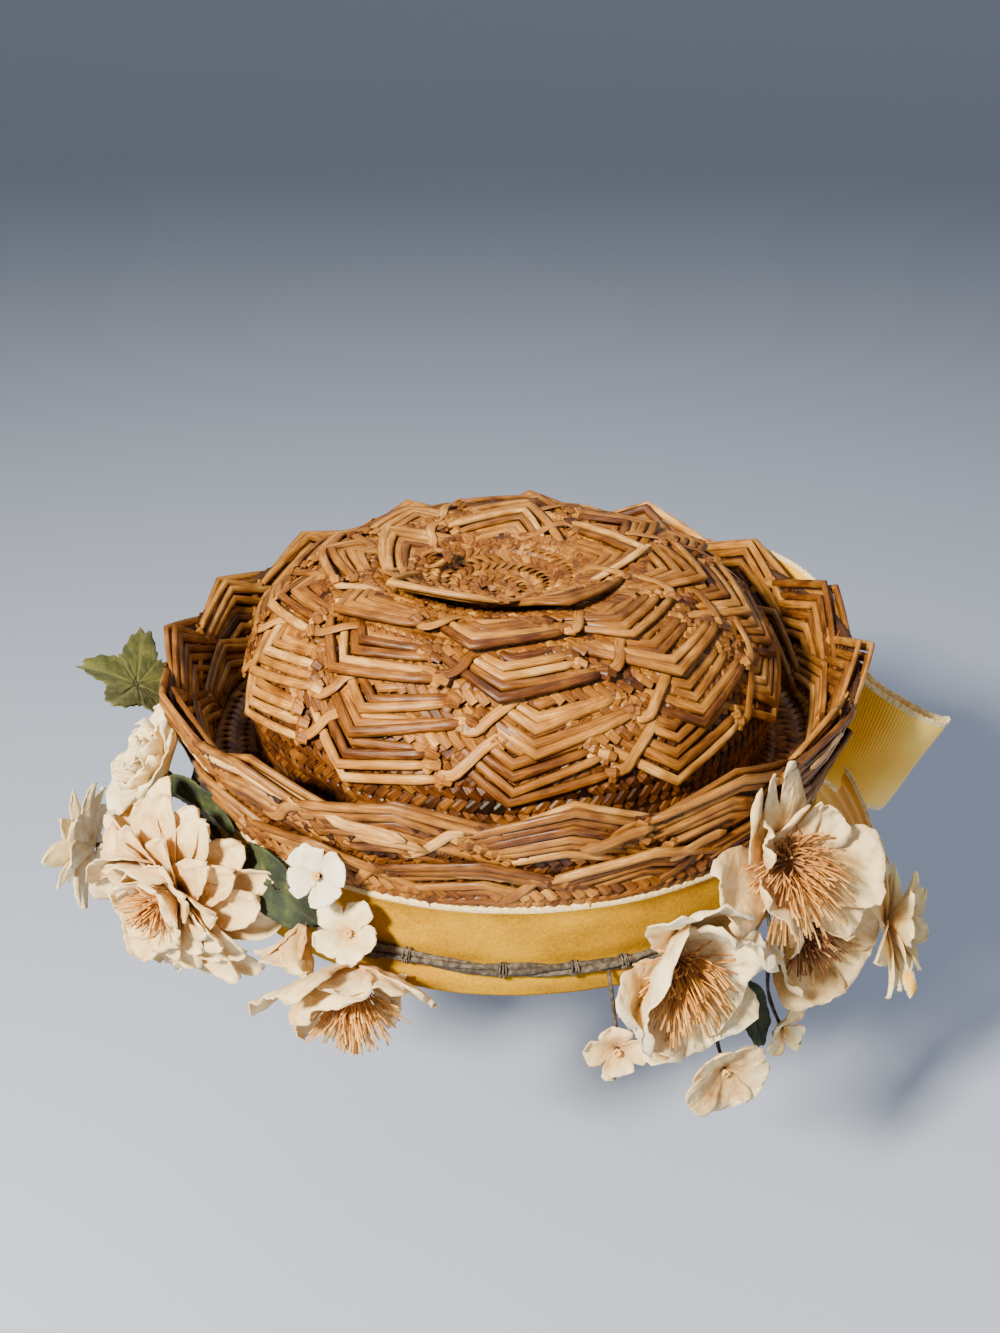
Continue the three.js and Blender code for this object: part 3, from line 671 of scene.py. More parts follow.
# The crown's rows: where the tips lie along the meridian, how many points go round, the azimuth of
# one tip, how far the row's edge stands off, and how far it is lifted more at the front.
CROWN_ROWS = [
    (47, 5, 24, 3.8, 5.0),
    (62.5, 8, -10, 4.0, 2.0),
    (77.5, 9, -2, 3.7, 1.2),
    (92, 10, 4, 3.2, 0.5),
    (104.5, 11, -1, 2.6, 0),
]
CROWN_HEART = 29  # the radius of the coiled start inside the first row
COIL_PITCH = 7.6
COIL_STEP = 3.6
KNOT_AT = (25, -112, 2.2)  # the start's knotted end: distance from the tip, azimuth, height over it
# Rows of braid, as a distance along the meridian and how many rows: seen between the rows of points,
# and inside at the foot and the tip.
OUTER_BRAIDS = [(CROWN_FALL - 1, 6), (103.5, 6), (82.5, 6), (61.5, 6), (40.5, 3)]
INNER_BRAIDS = [(CROWN_FALL - 1, 5), (20, 5)]
WALL_RINGS = [3, 20, 40, 60, 74, 86, 98, 110, CROWN_FALL - 0.5]  # distances along the meridian
WALL_STEPS = 120
INSIDE_DROP = 1.6  # how far the backs of the rows lie under the crown's surface


def crown_heart(draft, dice):
    """The start of the plait, coiled flat at the crown's sunken tip, with its knotted end."""
    distance, azimuth = CROWN_HEART, 40.0
    while distance > 2.5:
        for side in (-1, 1):
            corners = [(-2.4, side * -0.4, 0.5), (0.4, side * 1.6, 1.5), (2.6, side * 3.5, 0.3)]
            line = [on_crown(max(distance + d, 0.5), azimuth + degrees(x / max(distance + d, 2.5)), h)
                    for x, d, h in corners]
            lay_straw(draft, line, [UP] * 3, 3.4, 1.1, dice.gauss(0.48, 0.08), FOLD_SECTION, 0.9)
        swing = COIL_STEP / distance
        azimuth += degrees(swing)
        distance -= COIL_PITCH * swing / tau
    knot = on_crown(*KNOT_AT)
    for i in range(7):
        start = i * 0.9
        line = [knot + Vector((5.2 * cos(start + k * 0.7), 3.6 * sin(start + k * 0.7),
                               0.8 + 1.8 * sin(k * 0.9 + i)))
                for k in range(5)]
        lay_straw(draft, line, [UP] * 5, 3.0, 0.7, dice.gauss(0.5, 0.1), FOLD_SECTION)


def turned_over(at, length):
    """The same row seen from inside the crown."""
    return lambda x, depth, height: at(x, depth, -height - INSIDE_DROP), length


def make_crown(straw, shadow):
    """The crown's rows of plait over a dark wall behind them, which is painted shade in the gaps between the
    rows, and the rows' backs inside.
    """
    dice = random.Random(SEED)
    draft = Draft()
    for edge, points, turn, lap, lift in CROWN_ROWS:
        plait_row(draft, crown_row(edge, turn, lap, lift), points, dice)
    crown_heart(draft, dice)
    make_piece("crown_plait", draft, [straw], ["crown"])
    braid = Draft()
    for edge, rows in OUTER_BRAIDS:
        at, length = crown_row(edge, 0, -0.8)
        # Painted shade: the braids under the rows are given a darker tone.
        braided_edge(braid, at, length, 0.5, rows, dice, PAINTED_UNDER_SHADE)
    make_piece("crown_braid", braid, [straw])
    # Painted shade: two dark sheets under the rows, in the straw painted as in shadow, so that the gaps
    # between the rows read as shadow.
    wall = Draft()
    rings = []
    for way, depth in ((1, -0.4), (-1, -1.1)):
        for distance in WALL_RINGS[::way]:
            rings.append([wall.add_point(on_crown(distance, i * 360 / WALL_STEPS, depth), 0.3)
                          for i in range(WALL_STEPS)])
    wall.add_rings(rings)
    make_piece("crown_wall", wall, [shadow])
    lining = Draft()
    for edge, points, turn, lap, lift in CROWN_ROWS:
        plait_row(lining, turned_over(*crown_row(edge, turn + 9, 0)), points, dice, detail=False)
    for edge, rows in INNER_BRAIDS:
        at, length = turned_over(*crown_row(edge, 0, 0))
        braided_edge(lining, at, length, 0.5, rows, dice)
    make_piece("crown_inside", lining, [straw])


BRIM_POINTS = 15
# The brim's rows: how far the tips are below the rim's, the azimuth of one tip, how far the row's
# edge stands off, and whether it is inside.
BRIM_ROWS = [
    (0.5, 8, 0.5, False),
    (20, 20, 2.6, False),
    (0.5, 8, 0.4, True),
    (17, 18, 1.6, True),
]
# The floor of the channel between the crown and the brim, from the outer foot to the crown and back:
# radius, and height from the band's upper edge.
CHANNEL_FLOOR = [(101.1, -4.6), (99.3, -4.6), (97.5, -1), (CROWN_RADIUS - 6.3, -1),
                 (CROWN_RADIUS - 6.3, 0.6), (98.5, 0.6)]
FLOOR_EDGE = 98
FLOOR_TRACK = 94  # the radius on which the floor's braid is counted out, and the underside's
UNDER_TRACK = 90
WALL_FALLS = [7, 18, 27, 36, 41]  # how far below the rim the wall's rings lie
# Straws that have split and opened flat along the front of the brim: azimuth, how far below the rim,
# length, slope and width.
SPLIT_STRAWS = [
    (-20, 9, 22, 0.26, 4.6),
    (-17, 13, 20, 0.2, 3.8),
    (14, 12, 20, -0.26, 4.2),
    (27, 24, 20, -0.25, 4.4),
    (-5, 26, 18, 0.24, 4.2),
    (52, 8, 18, -0.2, 4),
]


def floor_row(x, depth, height):
    """Where the braid lies on the floor of the channel between the crown and the brim."""
    return place(degrees(x / FLOOR_TRACK), FLOOR_EDGE - depth, BAND_HEIGHT + 0.8 + height)


def under_floor_row(x, depth, height):
    """Where the braid lies on the floor's underside, round the head's opening."""
    return place(-degrees(x / UNDER_TRACK), FLOOR_EDGE - depth, BAND_HEIGHT - 1.2 - height)


def split_straws(draft, dice):
    for azimuth, fall, run, slope, width in SPLIT_STRAWS:
        line, ups = [], []
        for k in range(9):
            x = (k / 8 - 0.5) * run
            turn = azimuth + degrees(x / RIM_RADIUS)
            line.append(on_brim(fall + slope * x, turn, 2.6 + 0.5 * sin(k * 0.8), False))
            ups.append(place(turn, 1, -0.2).normalized())
        lay_straw(draft, line, ups, width, 0.5, dice.gauss(0.62, 0.05), ends=0.35)


def make_brim(straw, shadow):
    """The brim's two rows of plait outside and two inside, with the wall and the floor between."""
    dice = random.Random(SEED + 1)
    draft = Draft()
    for fall, turn, lap, inside in BRIM_ROWS:
        braid = 0 if fall < SECOND_ROW else 2
        plait_row(draft, brim_row(fall, turn, lap, inside), BRIM_POINTS, dice, braid=braid, arms=BRIM_ARMS)
    split_straws(draft, dice)
    make_piece("brim_plait", draft, [straw], ["brim"])
    braid = Draft()
    for inside, first, rows in ((False, 10, 8), (True, 10, 9)):
        at, length = brim_row(0, 0, -0.6, inside)
        # Painted shade: the braids under the rows are given a darker tone.
        braided_edge(braid, at, length, first, rows, dice, PAINTED_UNDER_SHADE)
    braided_edge(braid, floor_row, tau * FLOOR_TRACK, 0, 4, dice)
    braided_edge(braid, under_floor_row, tau * UNDER_TRACK, 0, 5, dice)
    make_piece("brim_braid", braid, [straw])
    # Painted shade: a dark sheet under the rows and over the channel's floor, in the straw painted as in
    # shadow, so that the gaps read as shadow.
    wall = Draft()
    rows = []
    for i in range(WALL_STEPS):
        azimuth = i * 360 / WALL_STEPS
        section = [on_brim(d, azimuth, -0.4, False) for d in WALL_FALLS]
        section += [place(azimuth, radius, BAND_HEIGHT + height) for radius, height in CHANNEL_FLOOR]
        section += [on_brim(d, azimuth, -0.4, True) for d in reversed(WALL_FALLS)]
        rows.append([wall.add_point(p, 0.3) for p in section])
    wall.add_rings(rows + [rows[0]], closed_ends=False)
    make_piece("brim_wall", wall, [shadow])


# Velvet ribbon

RIBBON_WIDTH = 39
RIBBON_WALL = 0.8
SELVAGE_WIDTH = 1.5
PICOT_PITCH = 2.2
RIBBON_COLUMNS = 16
VELVET_SIDE, REP_SIDE, EDGE_SIDE = 0, 1, 2

BAND_STEPS = 900
BAND_LIP = (2.1, 1.3, 0.5)  # how far the selvage and the velvet next to it stand out more
# The band's face: out from the band's radius, and height.
BAND_FACE = [(0.6, 32), (1.2, 24), (0.8, 17), (-0.3, 11), (0.7, 5), (-0.3, 0)]

# The bow's loop: the middle of the ribbon, how far its width leans from upright, and the swing of
# that lean from +X. It comes forward from the knot, folds at the right, and goes back to the knot.
BOW_LOOP = [
    (86, 67, 20, 3, 40),
    (97, 53, 21, 4, 35),
    (107, 34, 23, 9, 30),
    (114, 18, 23, 18, 20),
    (123, 9, 18.5, 25, 10),
    (134, 6, 13, 29, 10),
    (142, 9, 9, 31, 10),
    (145.5, 14, 8, 31, 12),
    (144, 20, 5, 29, 15),
    (137, 28, 6, 22, 20),
    (128, 36, 11, 14, 25),
    (121, 45, 22.5, 8, 30),
    (112.5, 55, 39, 5, 30),
    (101, 67, 45, 4, 35),
    (88.5, 80.5, 44, 4, 40),
    (79, 85, 35, 4, 45),
    (75, 83, 27, 4, 45),
]
# The tail: the same columns, and the ribbon's width where it is gathered and twisted.
TAIL = [
    (98.3, 40.5, 3, 2, 30, 20),
    (106.5, 27, 1, 5, 20, 25),
    (114.5, 12, -3, 10, 10, 28),
    (120, -6, -8, 13, 0, 24),
    (123.5, -27, -14, 13, 0, 15),
    (126, -45, -20, 14, 0, 9),
    (128.5, -57, -27, 16, 0, 7),
    (131, -62, -34, 20, 0, 4),
]
KNOT_AZIMUTH, KNOT_RADIUS, KNOT_HEIGHT = 133, 110.3, 20
KNOT_WIDTH, KNOT_TALL, KNOT_DEEP = 15, 28, 9
KNOT_RINGS = 30


def picot(run):
    """How far the looped edge stands out at a distance along the ribbon."""
    return 0.5 * abs(sin(pi * run / PICOT_PITCH))


def ribbon_shares(width):
    """Places across the ribbon, from -0.5 to 0.5, with a narrow selvage at each edge."""
    edge = 0.5 - min(SELVAGE_WIDTH / width, 0.2)
    inner = [mix(-edge, edge, j / (RIBBON_COLUMNS - 2)) for j in range(RIBBON_COLUMNS - 1)]
    return [-0.5] + inner + [0.5]


def lay_ribbon(draft, stations, per_span, gather, light_and_shade):
    """A ribbon through a table of stations, softly buckled and gathered, with light and shade painted along
    its length and over its buckles.
    """
    middles = smooth_line([Vector(row[:3]) for row in stations], per_span)
    shape = smooth_line([Vector((row[3], row[4], row[5] if len(row) > 5 else RIBBON_WIDTH))
                         for row in stations], per_span)
    rows = []
    run = 0
    for i, (middle, (lean, swing, width)) in enumerate(zip(middles, shape)):
        across = leaning(radians(lean), radians(swing))
        along = middles[min(i + 1, len(middles) - 1)] - middles[max(i - 1, 0)]
        out = along.cross(across).normalized()
        run += (middle - middles[i - 1]).length if i else 0
        row = []
        for share in ribbon_shares(width):
            edge = picot(run) if abs(share) == 0.5 else 0
            point = middle + across * (share * width + copysign(edge, share))
            ripple_here = ripple(point, 24, 3) * 0.8 + sin(share * 34 + run * 0.05) * gather
            rise = (0.25 - share * share) * 1.2 + ripple_here * (1 - 0.5 * abs(share))
            # Painted light and shade: the ribbon reads paler or darker along its run, from its ends to its
            # middle as the last argument gives, and lighter where a buckle rises.
            shade = mix(*light_and_shade, sin(pi * i / len(middles)) ** 2) + 0.12 * ripple_here
            row.append(draft.add_point(point + out * rise, shade, run, share * width))
        rows.append(row)
    draft.add_sheet(rows)
    return [EDGE_SIDE if j in (0, RIBBON_COLUMNS - 1) else REP_SIDE
            for _ in range(len(rows) - 1) for j in range(RIBBON_COLUMNS)]


def make_band(materials):
    """The velvet band round the foot of the brim, pressed in by the garland's stem at the front."""
    draft = Draft()
    face = smooth_line([Vector((o, h, 0)) for o, h in BAND_FACE], 5)
    rows = []
    for i in range(BAND_STEPS):
        azimuth = i * 360 / BAND_STEPS
        run = radians(azimuth) * BAND_RADIUS
        front = max(0, cos(radians(azimuth))) ** 0.5
        row = []
        for k, at in enumerate(face):
            out = mix(0.4, at.x, front)
            height = at.y
            out += 0.35 * ripple(place(azimuth, BAND_RADIUS, height * 2.2), 14, 5)
            if k == 0:
                height += picot(run) + 0.7
            out += BAND_LIP[k] if k < len(BAND_LIP) else 0
            point = place(azimuth, BAND_RADIUS + out, height)
            # Painted shade: the velvet reads darker where the band lies farther in, as under the stem, and
            # lighter where it stands out.
            row.append(draft.add_point(point, 0.5 + 0.25 * (out - 0.3), run, height))
        rows.append(row)
    draft.add_sheet(rows + [rows[0]])
    picks = [EDGE_SIDE if k == 0 else VELVET_SIDE for _ in range(BAND_STEPS) for k in range(len(face) - 1)]
    band = make_piece("velvet_band_cloth", draft, materials, ["velvet_band"], picks)
    thicken(band, RIBBON_WALL)


def make_bow(materials):
    """The bow's loop, the tail that comes forward under the flowers, and the knot of both."""
    loop = Draft()
    # Painted light: the loop is painted paler towards its fold, where it is lit, and darker where it goes
    # into the knot.
    picks = lay_ribbon(loop, BOW_LOOP, 28, 0, (0.3, 0.72))
    cloth = make_piece("bow_loop_cloth", loop, materials, ["bow_loop"], picks)
    thicken(cloth, RIBBON_WALL)
    tail = Draft()
    # Painted shade: the tail is painted darker in its middle, under the flowers.
    picks = lay_ribbon(tail, TAIL, 24, 0.5, (0.4, 0.25))
    cloth = make_piece("ribbon_tail_cloth", tail, materials, ["ribbon_tail"], picks)
    thicken(cloth, RIBBON_WALL)
    make_knot(materials)


def make_knot(materials):
    """The knot, a short pleated roll of the ribbon that is full in its middle."""
    knot = Draft()
    out, along = place(KNOT_AZIMUTH, 1, 0), heading(KNOT_AZIMUTH + 90, 0)
    middle = place(KNOT_AZIMUTH, KNOT_RADIUS, KNOT_HEIGHT)
    rings = []
    for i in range(KNOT_RINGS + 1):
        share = i / KNOT_RINGS - 0.5
        full = 1 - 0.28 * (2 * abs(share)) ** 3
        ring = []
        for a in turns(72):
            pleat = 0.45 * sin(share * 26 + 0.8 * sin(a))
            point = middle + along * (share * KNOT_WIDTH)
            point = point + out * (KNOT_DEEP / 2 * full + pleat) * cos(a)
            point.z += (KNOT_TALL / 2 * full + pleat) * sin(a)
            # Painted shade: the velvet reads darker in the hollows of the pleats and lighter on their ridges.
            ring.append(knot.add_point(point, 0.5 + pleat * 0.4, a * 14, share * KNOT_WIDTH))
        rings.append(ring)
    knot.add_rings(rings)
    picks = [VELVET_SIDE] * len(knot.faces)
    make_piece("bow_knot_cloth", knot, materials, ["bow_knot"], picks)


# The garland's stem

# The run of the stem: azimuth, height, out from its usual radius.
STEM_RUN = [(-84, 21, 1), (-60, 19, 1), (-40, 16, 0.6), (-20, 13, 0.2), (0, 10.6, 0), (20, 10, 0),
            (45, 11, 0), (66, 12, 0)]
STEM_STEPS = 190
STRANDS = 3
STRAND_SWING = 0.95  # how far a strand lies from the middle of the stem
BINDINGS = [-76, -64, -52, -41, -31, -17, -2, 9, 17, 29, 40, 52, 62]  # the azimuths of the thread's turns


def stem_point(azimuth):
    height, out = between(STEM_RUN, azimuth)
    return place(azimuth, STEM_TRACK + out, height)


def rod(draft, line, radii, sides, shade=0.5):
    """A round rod through a line of points, tapered by its radii."""
    rings = []
    run = 0
    up = Vector((0.13, 0.21, 1)).normalized()
    for i, point in enumerate(line):
        along = (line[min(i + 1, len(line) - 1)] - line[max(i - 1, 0)]).normalized()
        side = along.cross(up).normalized()
        up = side.cross(along)
        run += (point - line[i - 1]).length if i else 0
        ring = []
        for j in range(sides):
            a = j * tau / sides
            at = point + (side * cos(a) + up * sin(a)) * radii[i]
            ring.append(draft.add_point(at, shade, run, j / sides))
        rings.append(ring)
    draft.add_rings(rings)


def make_stem(wire):
    """The garland's stem, three papered wires twisted loosely together and bound with thread."""
    dice = random.Random(SEED + 2)
    draft = Draft()
    first, last = STEM_RUN[0][0], STEM_RUN[-1][0]
    for strand in range(STRANDS):
        line, radii = [], []
        for i in range(STEM_STEPS + 1):
            azimuth = mix(first, last, i / STEM_STEPS)
            a = strand * tau / STRANDS + azimuth * 0.16
            swing = STRAND_SWING + 0.2 * sin(azimuth * 0.3 + strand)
            point = stem_point(azimuth) + place(azimuth, 1, 0) * swing * cos(a)
            point = point + Vector((0, 0, swing * 1.15 * sin(a)))
            line.append(point)
            radii.append(1.02 + 0.25 * ripple(point, 3, strand))
        rod(draft, line, radii, 7, 0.3 + 0.25 * strand)
    for azimuth in BINDINGS:
        for turn in range(3):
            at = azimuth + turn * 0.42 + dice.uniform(-0.1, 0.1)
            line = []
            for k in range(13):
                a = k * tau / 12
                point = stem_point(at) + place(at, 1, 0) * 2.15 * cos(a) + UP * (2.25 * sin(a))
                line.append(point + heading(at + 90, 0) * 0.4 * sin(a * 0.5 + turn))
            rod(draft, line, [0.26] * len(line), 4, 0.8)
    make_piece("stem_wires", draft, [wire], ["garland_stem"])


# Flowers, buds and leaves

SILK_WALL = 0.35
LEAF_WALL = 0.5
GOLDEN_ANGLE = 2.39996

# Where each head is wired on: azimuth, radius and height of its foot, the way it faces, its turn
# about that way, and the azimuth where its stalk meets the stem.
HEADS = {
    "dahlia_left": (-54, 125, 16, (-34, -5), 10, -56),
    "daisy_far_left": (-79, 142, -1, (-95, 5), 0, -80),
    "rose_left": (-67, 122, 45, (-75, 34), 20, -72),
    "blossom_left": (-27.5, 116, 41.5, (-20, 30), 12, -28),
    "blossom_crumpled": (-24, 113, 22, (-10, 35), 60, -23),
    "bell_left": (-33, 111, 17, (-30, -42), 0, -33),
    "poppy_left": (-24, 114.5, 9.5, (10, -42), 0, -20),
    "poppy_front": (24, 112, 13, (20, -4), 0, 24),
    "poppy_upper": (41.5, 117, 34, (35, 30), 20, 40),
    "poppy_lower": (53, 111, -3, (34, 12), 15, 54),
    "blossom_low_left": (15.5, 113, -15, (0, 5), 0, 15),
    "blossom_low": (32, 119, -30, (20, -5), 0, 33),
    "blossom_low_right": (45, 118, -30, (40, 0), 0, 47),
    "daisy_right": (61, 134, -3, (66, 14), 0, 62),
    "bud_left": (-68, 118, 32, (-70, 30), 0, -68),
    "bud_right": (43, 114, 0, (43, -20), 0, 43),
}

# How full a petal is along its length: share of the length, share of the half width.
LANCE = [(0, 0.3), (0.25, 0.72), (0.5, 1), (0.72, 0.9), (0.88, 0.5), (1, 0.04)]
ROUND = [(0, 0.22), (0.3, 0.6), (0.6, 0.96), (0.8, 1), (0.93, 0.74), (1, 0.3)]
OVAL = [(0, 0.35), (0.3, 0.8), (0.58, 1), (0.8, 0.88), (0.93, 0.55), (1, 0.14)]
BROAD = [(0, 0.2), (0.25, 0.62), (0.55, 0.95), (0.8, 1), (0.94, 0.88), (1, 0.6)]

# Rows of petals round a heart: count, length, width, shape, elevation at the heart and at the tip,
# turn, and then cup, ruffle, root, level, crush and veins as a petal takes them.
DAHLIA = [
    (12, 32, 13.5, OVAL, 0, -38, 0, 0.3, 1.3, 3, 0, 0.7, 0.1),
    (13, 29, 13.5, OVAL, 10, -20, 0.3, 0.3, 1.3, 3, 0.6, 0.7, 0.1),
    (12, 25, 13.5, OVAL, 24, -4, 0.1, 0.3, 1.3, 3, 1.4, 0.7, 0.1),
    (10, 21, 13.5, OVAL, 40, 14, 0.5, 0.3, 1.3, 3, 2, 0.7, 0.1),
    (8, 16, 13.5, OVAL, 58, 42, 0.2, 0.3, 1.3, 3, 2.4, 0.7, 0.1),
]
DAISY = [
    (9, 22, 10, LANCE, 12, -8, 0, 0.35, 0.9, 1.5, 0, 0, 0),
    (7, 18, 9, LANCE, 36, 24, 0.35, 0.4, 0.8, 1.5, 1, 0, 0),
    (4, 10, 7, LANCE, 62, 60, 0.1, 0.45, 0.4, 1, 1, 0, 0),
]
ROSE = [
    (5, 19, 22, BROAD, 14, 40, 0, 0.2, 1.8, 1, -6, 0.9, 0),
    (5, 15, 16, BROAD, 36, 62, 0.6, 0.3, 2.6, 1, -5, 2.2, 0),
    (5, 11, 10, BROAD, 62, 76, 0.2, 0.4, 2.2, 0.5, -4, 1.6, 0),
]
BELL = [(5, 17, 12, LANCE, 78, 30, 0, 0.35, 0.8, 1.2, 0, 0.4, 0)]


def blossom(count, length, width, crush):
    return [(count, length, width, ROUND, 24, 4, 0, 0.22, 0.8, 0.4, 0, crush, 0.25)]


# The flowers made of such rows alone, each with its silk and the thread of its few stamens.
FLOWERS = {
    "daisy_far_left": ("cream", None, DAISY),
    "daisy_right": ("yellowed", None, DAISY),
    "rose_left": ("cream", None, ROSE),
    "blossom_left": ("white", "dark_yarn", blossom(4, 9.5, 10, 0.4)),
    "blossom_crumpled": ("cream", "yarn", blossom(5, 10.5, 9, 2.4)),
    "blossom_low_left": ("aged", "yarn", blossom(4, 9.5, 10, 1.2)),
    "blossom_low": ("aged", "yarn", blossom(5, 15, 15, 0.8)),
    "blossom_low_right": ("yellowed", "yarn", blossom(4, 9.5, 10, 1.2)),
    "bell_left": ("aged", None, BELL),
}


def head_frame(name):
    """The turning and placing of a head that is made facing +Z."""
    azimuth, radius, height, faces, turn, _ = HEADS[name]
    facing = UP.rotation_difference(heading(*faces)).to_matrix().to_4x4()
    spin = Matrix.Rotation(radians(turn), 4, "Z")
    return Matrix.Translation(place(azimuth, radius, height)) @ facing @ spin


def petal(draft, frame, turn, length, width, shape, start, end, dice, cup, ruffle, root, level=0,
          crush=0, veins=0, fingers=0):
    """One petal cut from silk. Its middle line leaves the heart at an elevation of start degrees and
    ends at end degrees. Cup hollows it, ruffle waves its edge, root and level are how far out and up
    it is sewn on, crush crumples it, veins press fine creases along it, and fingers is how many
    points its tip is cut into."""
    steps, half = (22, 13) if fingers else (18, 9) if length > 14 else (10, 6)
    seed = dice.random() * 50
    middle = Vector((root, 0, level))
    rows = []
    for i in range(steps + 1):
        u = i / steps
        pitch = radians(mix(start, end, u ** 1.3))
        way = Vector((cos(pitch), 0, sin(pitch)))
        normal = Vector((-way.z, 0, way.x))
        if i:
            middle = middle + way * (length / steps)
        reach = between(shape, u)[0] * width / 2
        row = []
        for j in range(-half, half + 1):
            v = j / half
            point = middle + Vector((0, 1, 0)) * (v * reach) + normal * (cup * reach * v * v)
            if fingers and u > 0.3:
                cut = 0.5 - 0.5 * cos((v + 1) * pi * fingers)
                point = point - way * (length * 0.6 * (u - 0.3) / 0.7 * (1 - cut) ** 1.5)
            own = Vector((seed, 0, 0))
            wave = sin(v * 5 + seed) * abs(v) ** 1.5 * u + 0.7 * ripple(point + own, 9) * u
            crease = 1 - abs(ripple(point + own, 6.5, 21)) * 3
            point = point + normal * (ruffle * wave + veins * sin(v * 17) * u * (1 - u * 0.4))
            point = point + normal * (0.5 * crush * u * max(0, crease))
            dent = Vector([ripple(point, 8, k) for k in (11, 12, 13)])
            point = point + dent * crush * u
            if abs(v) == 1 or i == steps:
                point = point + Vector((ripple(point, 1.7, 31), ripple(point, 1.7, 32), 0)) * 0.55
            point = frame @ (Matrix.Rotation(turn, 4, "Z") @ point)
            row.append(draft.add_point(point, dice.random(), u, max(abs(v), u ** 5)))
        rows.append(row)
    draft.add_sheet(rows)


def petals_round(draft, frame, row, dice):
    """A row of petals round a heart, each a little different in length, width, turn and lift."""
    count, length, width, shape, start, end, turn, *manner = row
    for k in range(count):
        at = turn + tau * k / count + dice.uniform(-0.12, 0.12)
        tilt = dice.uniform(-7, 7)
        petal(draft, frame, at, length * dice.uniform(0.88, 1.08), width * dice.uniform(0.88, 1.12), shape,
              start + tilt, end + tilt, dice, *manner)


def clock_turn(frame, clock):
    """The turn about a head's facing that a clock angle means, seen from the front with 0 upward."""
    up = frame.to_3x3().inverted() @ UP
    return atan2(up.y, up.x) - radians(clock)


def make_head(name, draft, silk):
    thicken(make_piece(name + "_silk", draft, [silk], [name]), SILK_WALL)


def lump(draft, frame, middle, radius, tall, steps, tilt, knobs=0):
    """A round lump, drawn in rings from a low elevation to the same one above, and knobbly or not."""
    x, y, z = middle
    rings = []
    for i in range(steps + 1):
        a = radians(i * (2 * tilt / steps) - tilt)
        out = radius * cos(a)
        ring = []
        for b in turns(20):
            point = Vector((x + out * cos(b), y + out * sin(b), z + tall * sin(a)))
            point = point + point.normalized() * knobs * ripple(point, 1.6, 2)
            ring.append(draft.add_point(frame @ point, 0.5 + 0.4 * ripple(point, 1.6, 2), 0.3))
        rings.append(ring)
    draft.add_rings(rings)


def thread_brush(draft, frame, number, reach, splay, lift, droop, dice):
    """A dense brush of thread stamens, each bent a little its own way."""
    for k in range(number):
        lean = radians(splay) * sqrt((k + 0.5) / number) + dice.uniform(-0.15, 0.15)
        size = reach * dice.uniform(0.62, 1.05)
        bend = dice.uniform(-0.5, 0.5)
        line = []
        for share in (0, 0.25, 0.5, 0.75, 1):
            a = lean + bend * share
            b = k * GOLDEN_ANGLE + 0.6 * bend * share
            way = leaning(a, b)
            fall = Vector((0, 0, -droop * share * share * size / reach))
            line.append(frame @ (way * (1.2 + size * share) + Vector((0, 0, lift))) + fall)
        rod(draft, line, [0.24, 0.22, 0.2, 0.19, 0.33], 4, dice.random())
    draft.readings["along"] = [min(1.0, value / reach) for value in draft.readings["along"]]


def make_flower(name, silk, yarn, rows, dice):
    """A flower of rows of petals, with a few short stamens if it is given their thread."""
    frame = head_frame(name)
    draft = Draft()
    for row in rows:
        petals_round(draft, frame, row, dice)
    make_head(name, draft, silk)
    if yarn:
        core = Draft()
        for k in range(7):
            tip = Vector((1.1 * cos(k * 0.9), 1.1 * sin(k * 0.9), 2.8))
            rod(core, [frame @ Vector((0, 0, 0.4)), frame @ tip], [0.22, 0.4], 5)
        make_piece(name + "_heart", core, [yarn])


# The dahlia's three large cupped petals: clock angle seen from the front, length, width, elevation
# at the heart and at the tip.
DAHLIA_CUPS = [(-38, 25, 25, 24, 66), (-4, 23, 22, 30, 70), (-75, 24, 20, 20, 56)]


def make_dahlia(silk, yarn):
    dice = random.Random(SEED + 10)
    frame = head_frame("dahlia_left")
    draft = Draft()
    for row in DAHLIA:
        petals_round(draft, frame, row, dice)
    for clock, length, width, start, end in DAHLIA_CUPS:
        petal(draft, frame, clock_turn(frame, clock), length, width, BROAD, start, end, dice, 0.3, 1.2, 4,
              crush=0.6)
    make_head("dahlia_left", draft, silk)
    core = Draft()
    thread_brush(core, frame, 110, 15, 22, 3, 0, dice)
    lump(core, frame, (0, 0, 5), 4.2, 5, 10, 80, 1.1)
    make_piece("dahlia_left_heart", core, [yarn])


# The poppies' petals, each with its clock angle as seen from the front (0 is up), length, width,
# elevation at the heart and at the tip, and how many points its tip is cut into.
POPPIES = {
    "poppy_left": [(8, 21, 27, 26, 40, 0), (75, 26, 28, 24, 38, 0), (150, 24, 28, 36, 70, 2),
                   (215, 24, 27, 36, 66, 0), (-66, 28, 36, 14, 30, 0), (-28, 24, 26, 30, 50, 0)],
    "poppy_front": [(-72, 26, 42, 30, 80, 0), (0, 35, 29, 12, 50, 0), (48, 28, 32, 18, 66, 0),
                    (108, 23, 36, 14, 66, 0), (165, 28, 38, 12, 54, 0), (-128, 28, 38, 18, 70, 0)],
    "poppy_upper": [(-14, 34, 31, 20, 40, 3), (22, 22, 17, 24, 50, 2), (-50, 25, 13, 22, 62, 0),
                    (-88, 32, 24, 6, 26, 0), (-128, 20, 20, 12, 54, 0), (110, 31, 24, 6, 30, 0),
                    (142, 29, 18, 2, 22, 0), (66, 22, 15, 16, 44, 0)],
    "poppy_lower": [(20, 24, 22, 24, 66, 0), (85, 25, 24, 14, 62, 0), (140, 25, 25, 8, 56, 0),
                    (195, 25, 25, 8, 58, 0), (255, 24, 24, 16, 64, 0), (310, 22, 20, 30, 70, 0)],
}
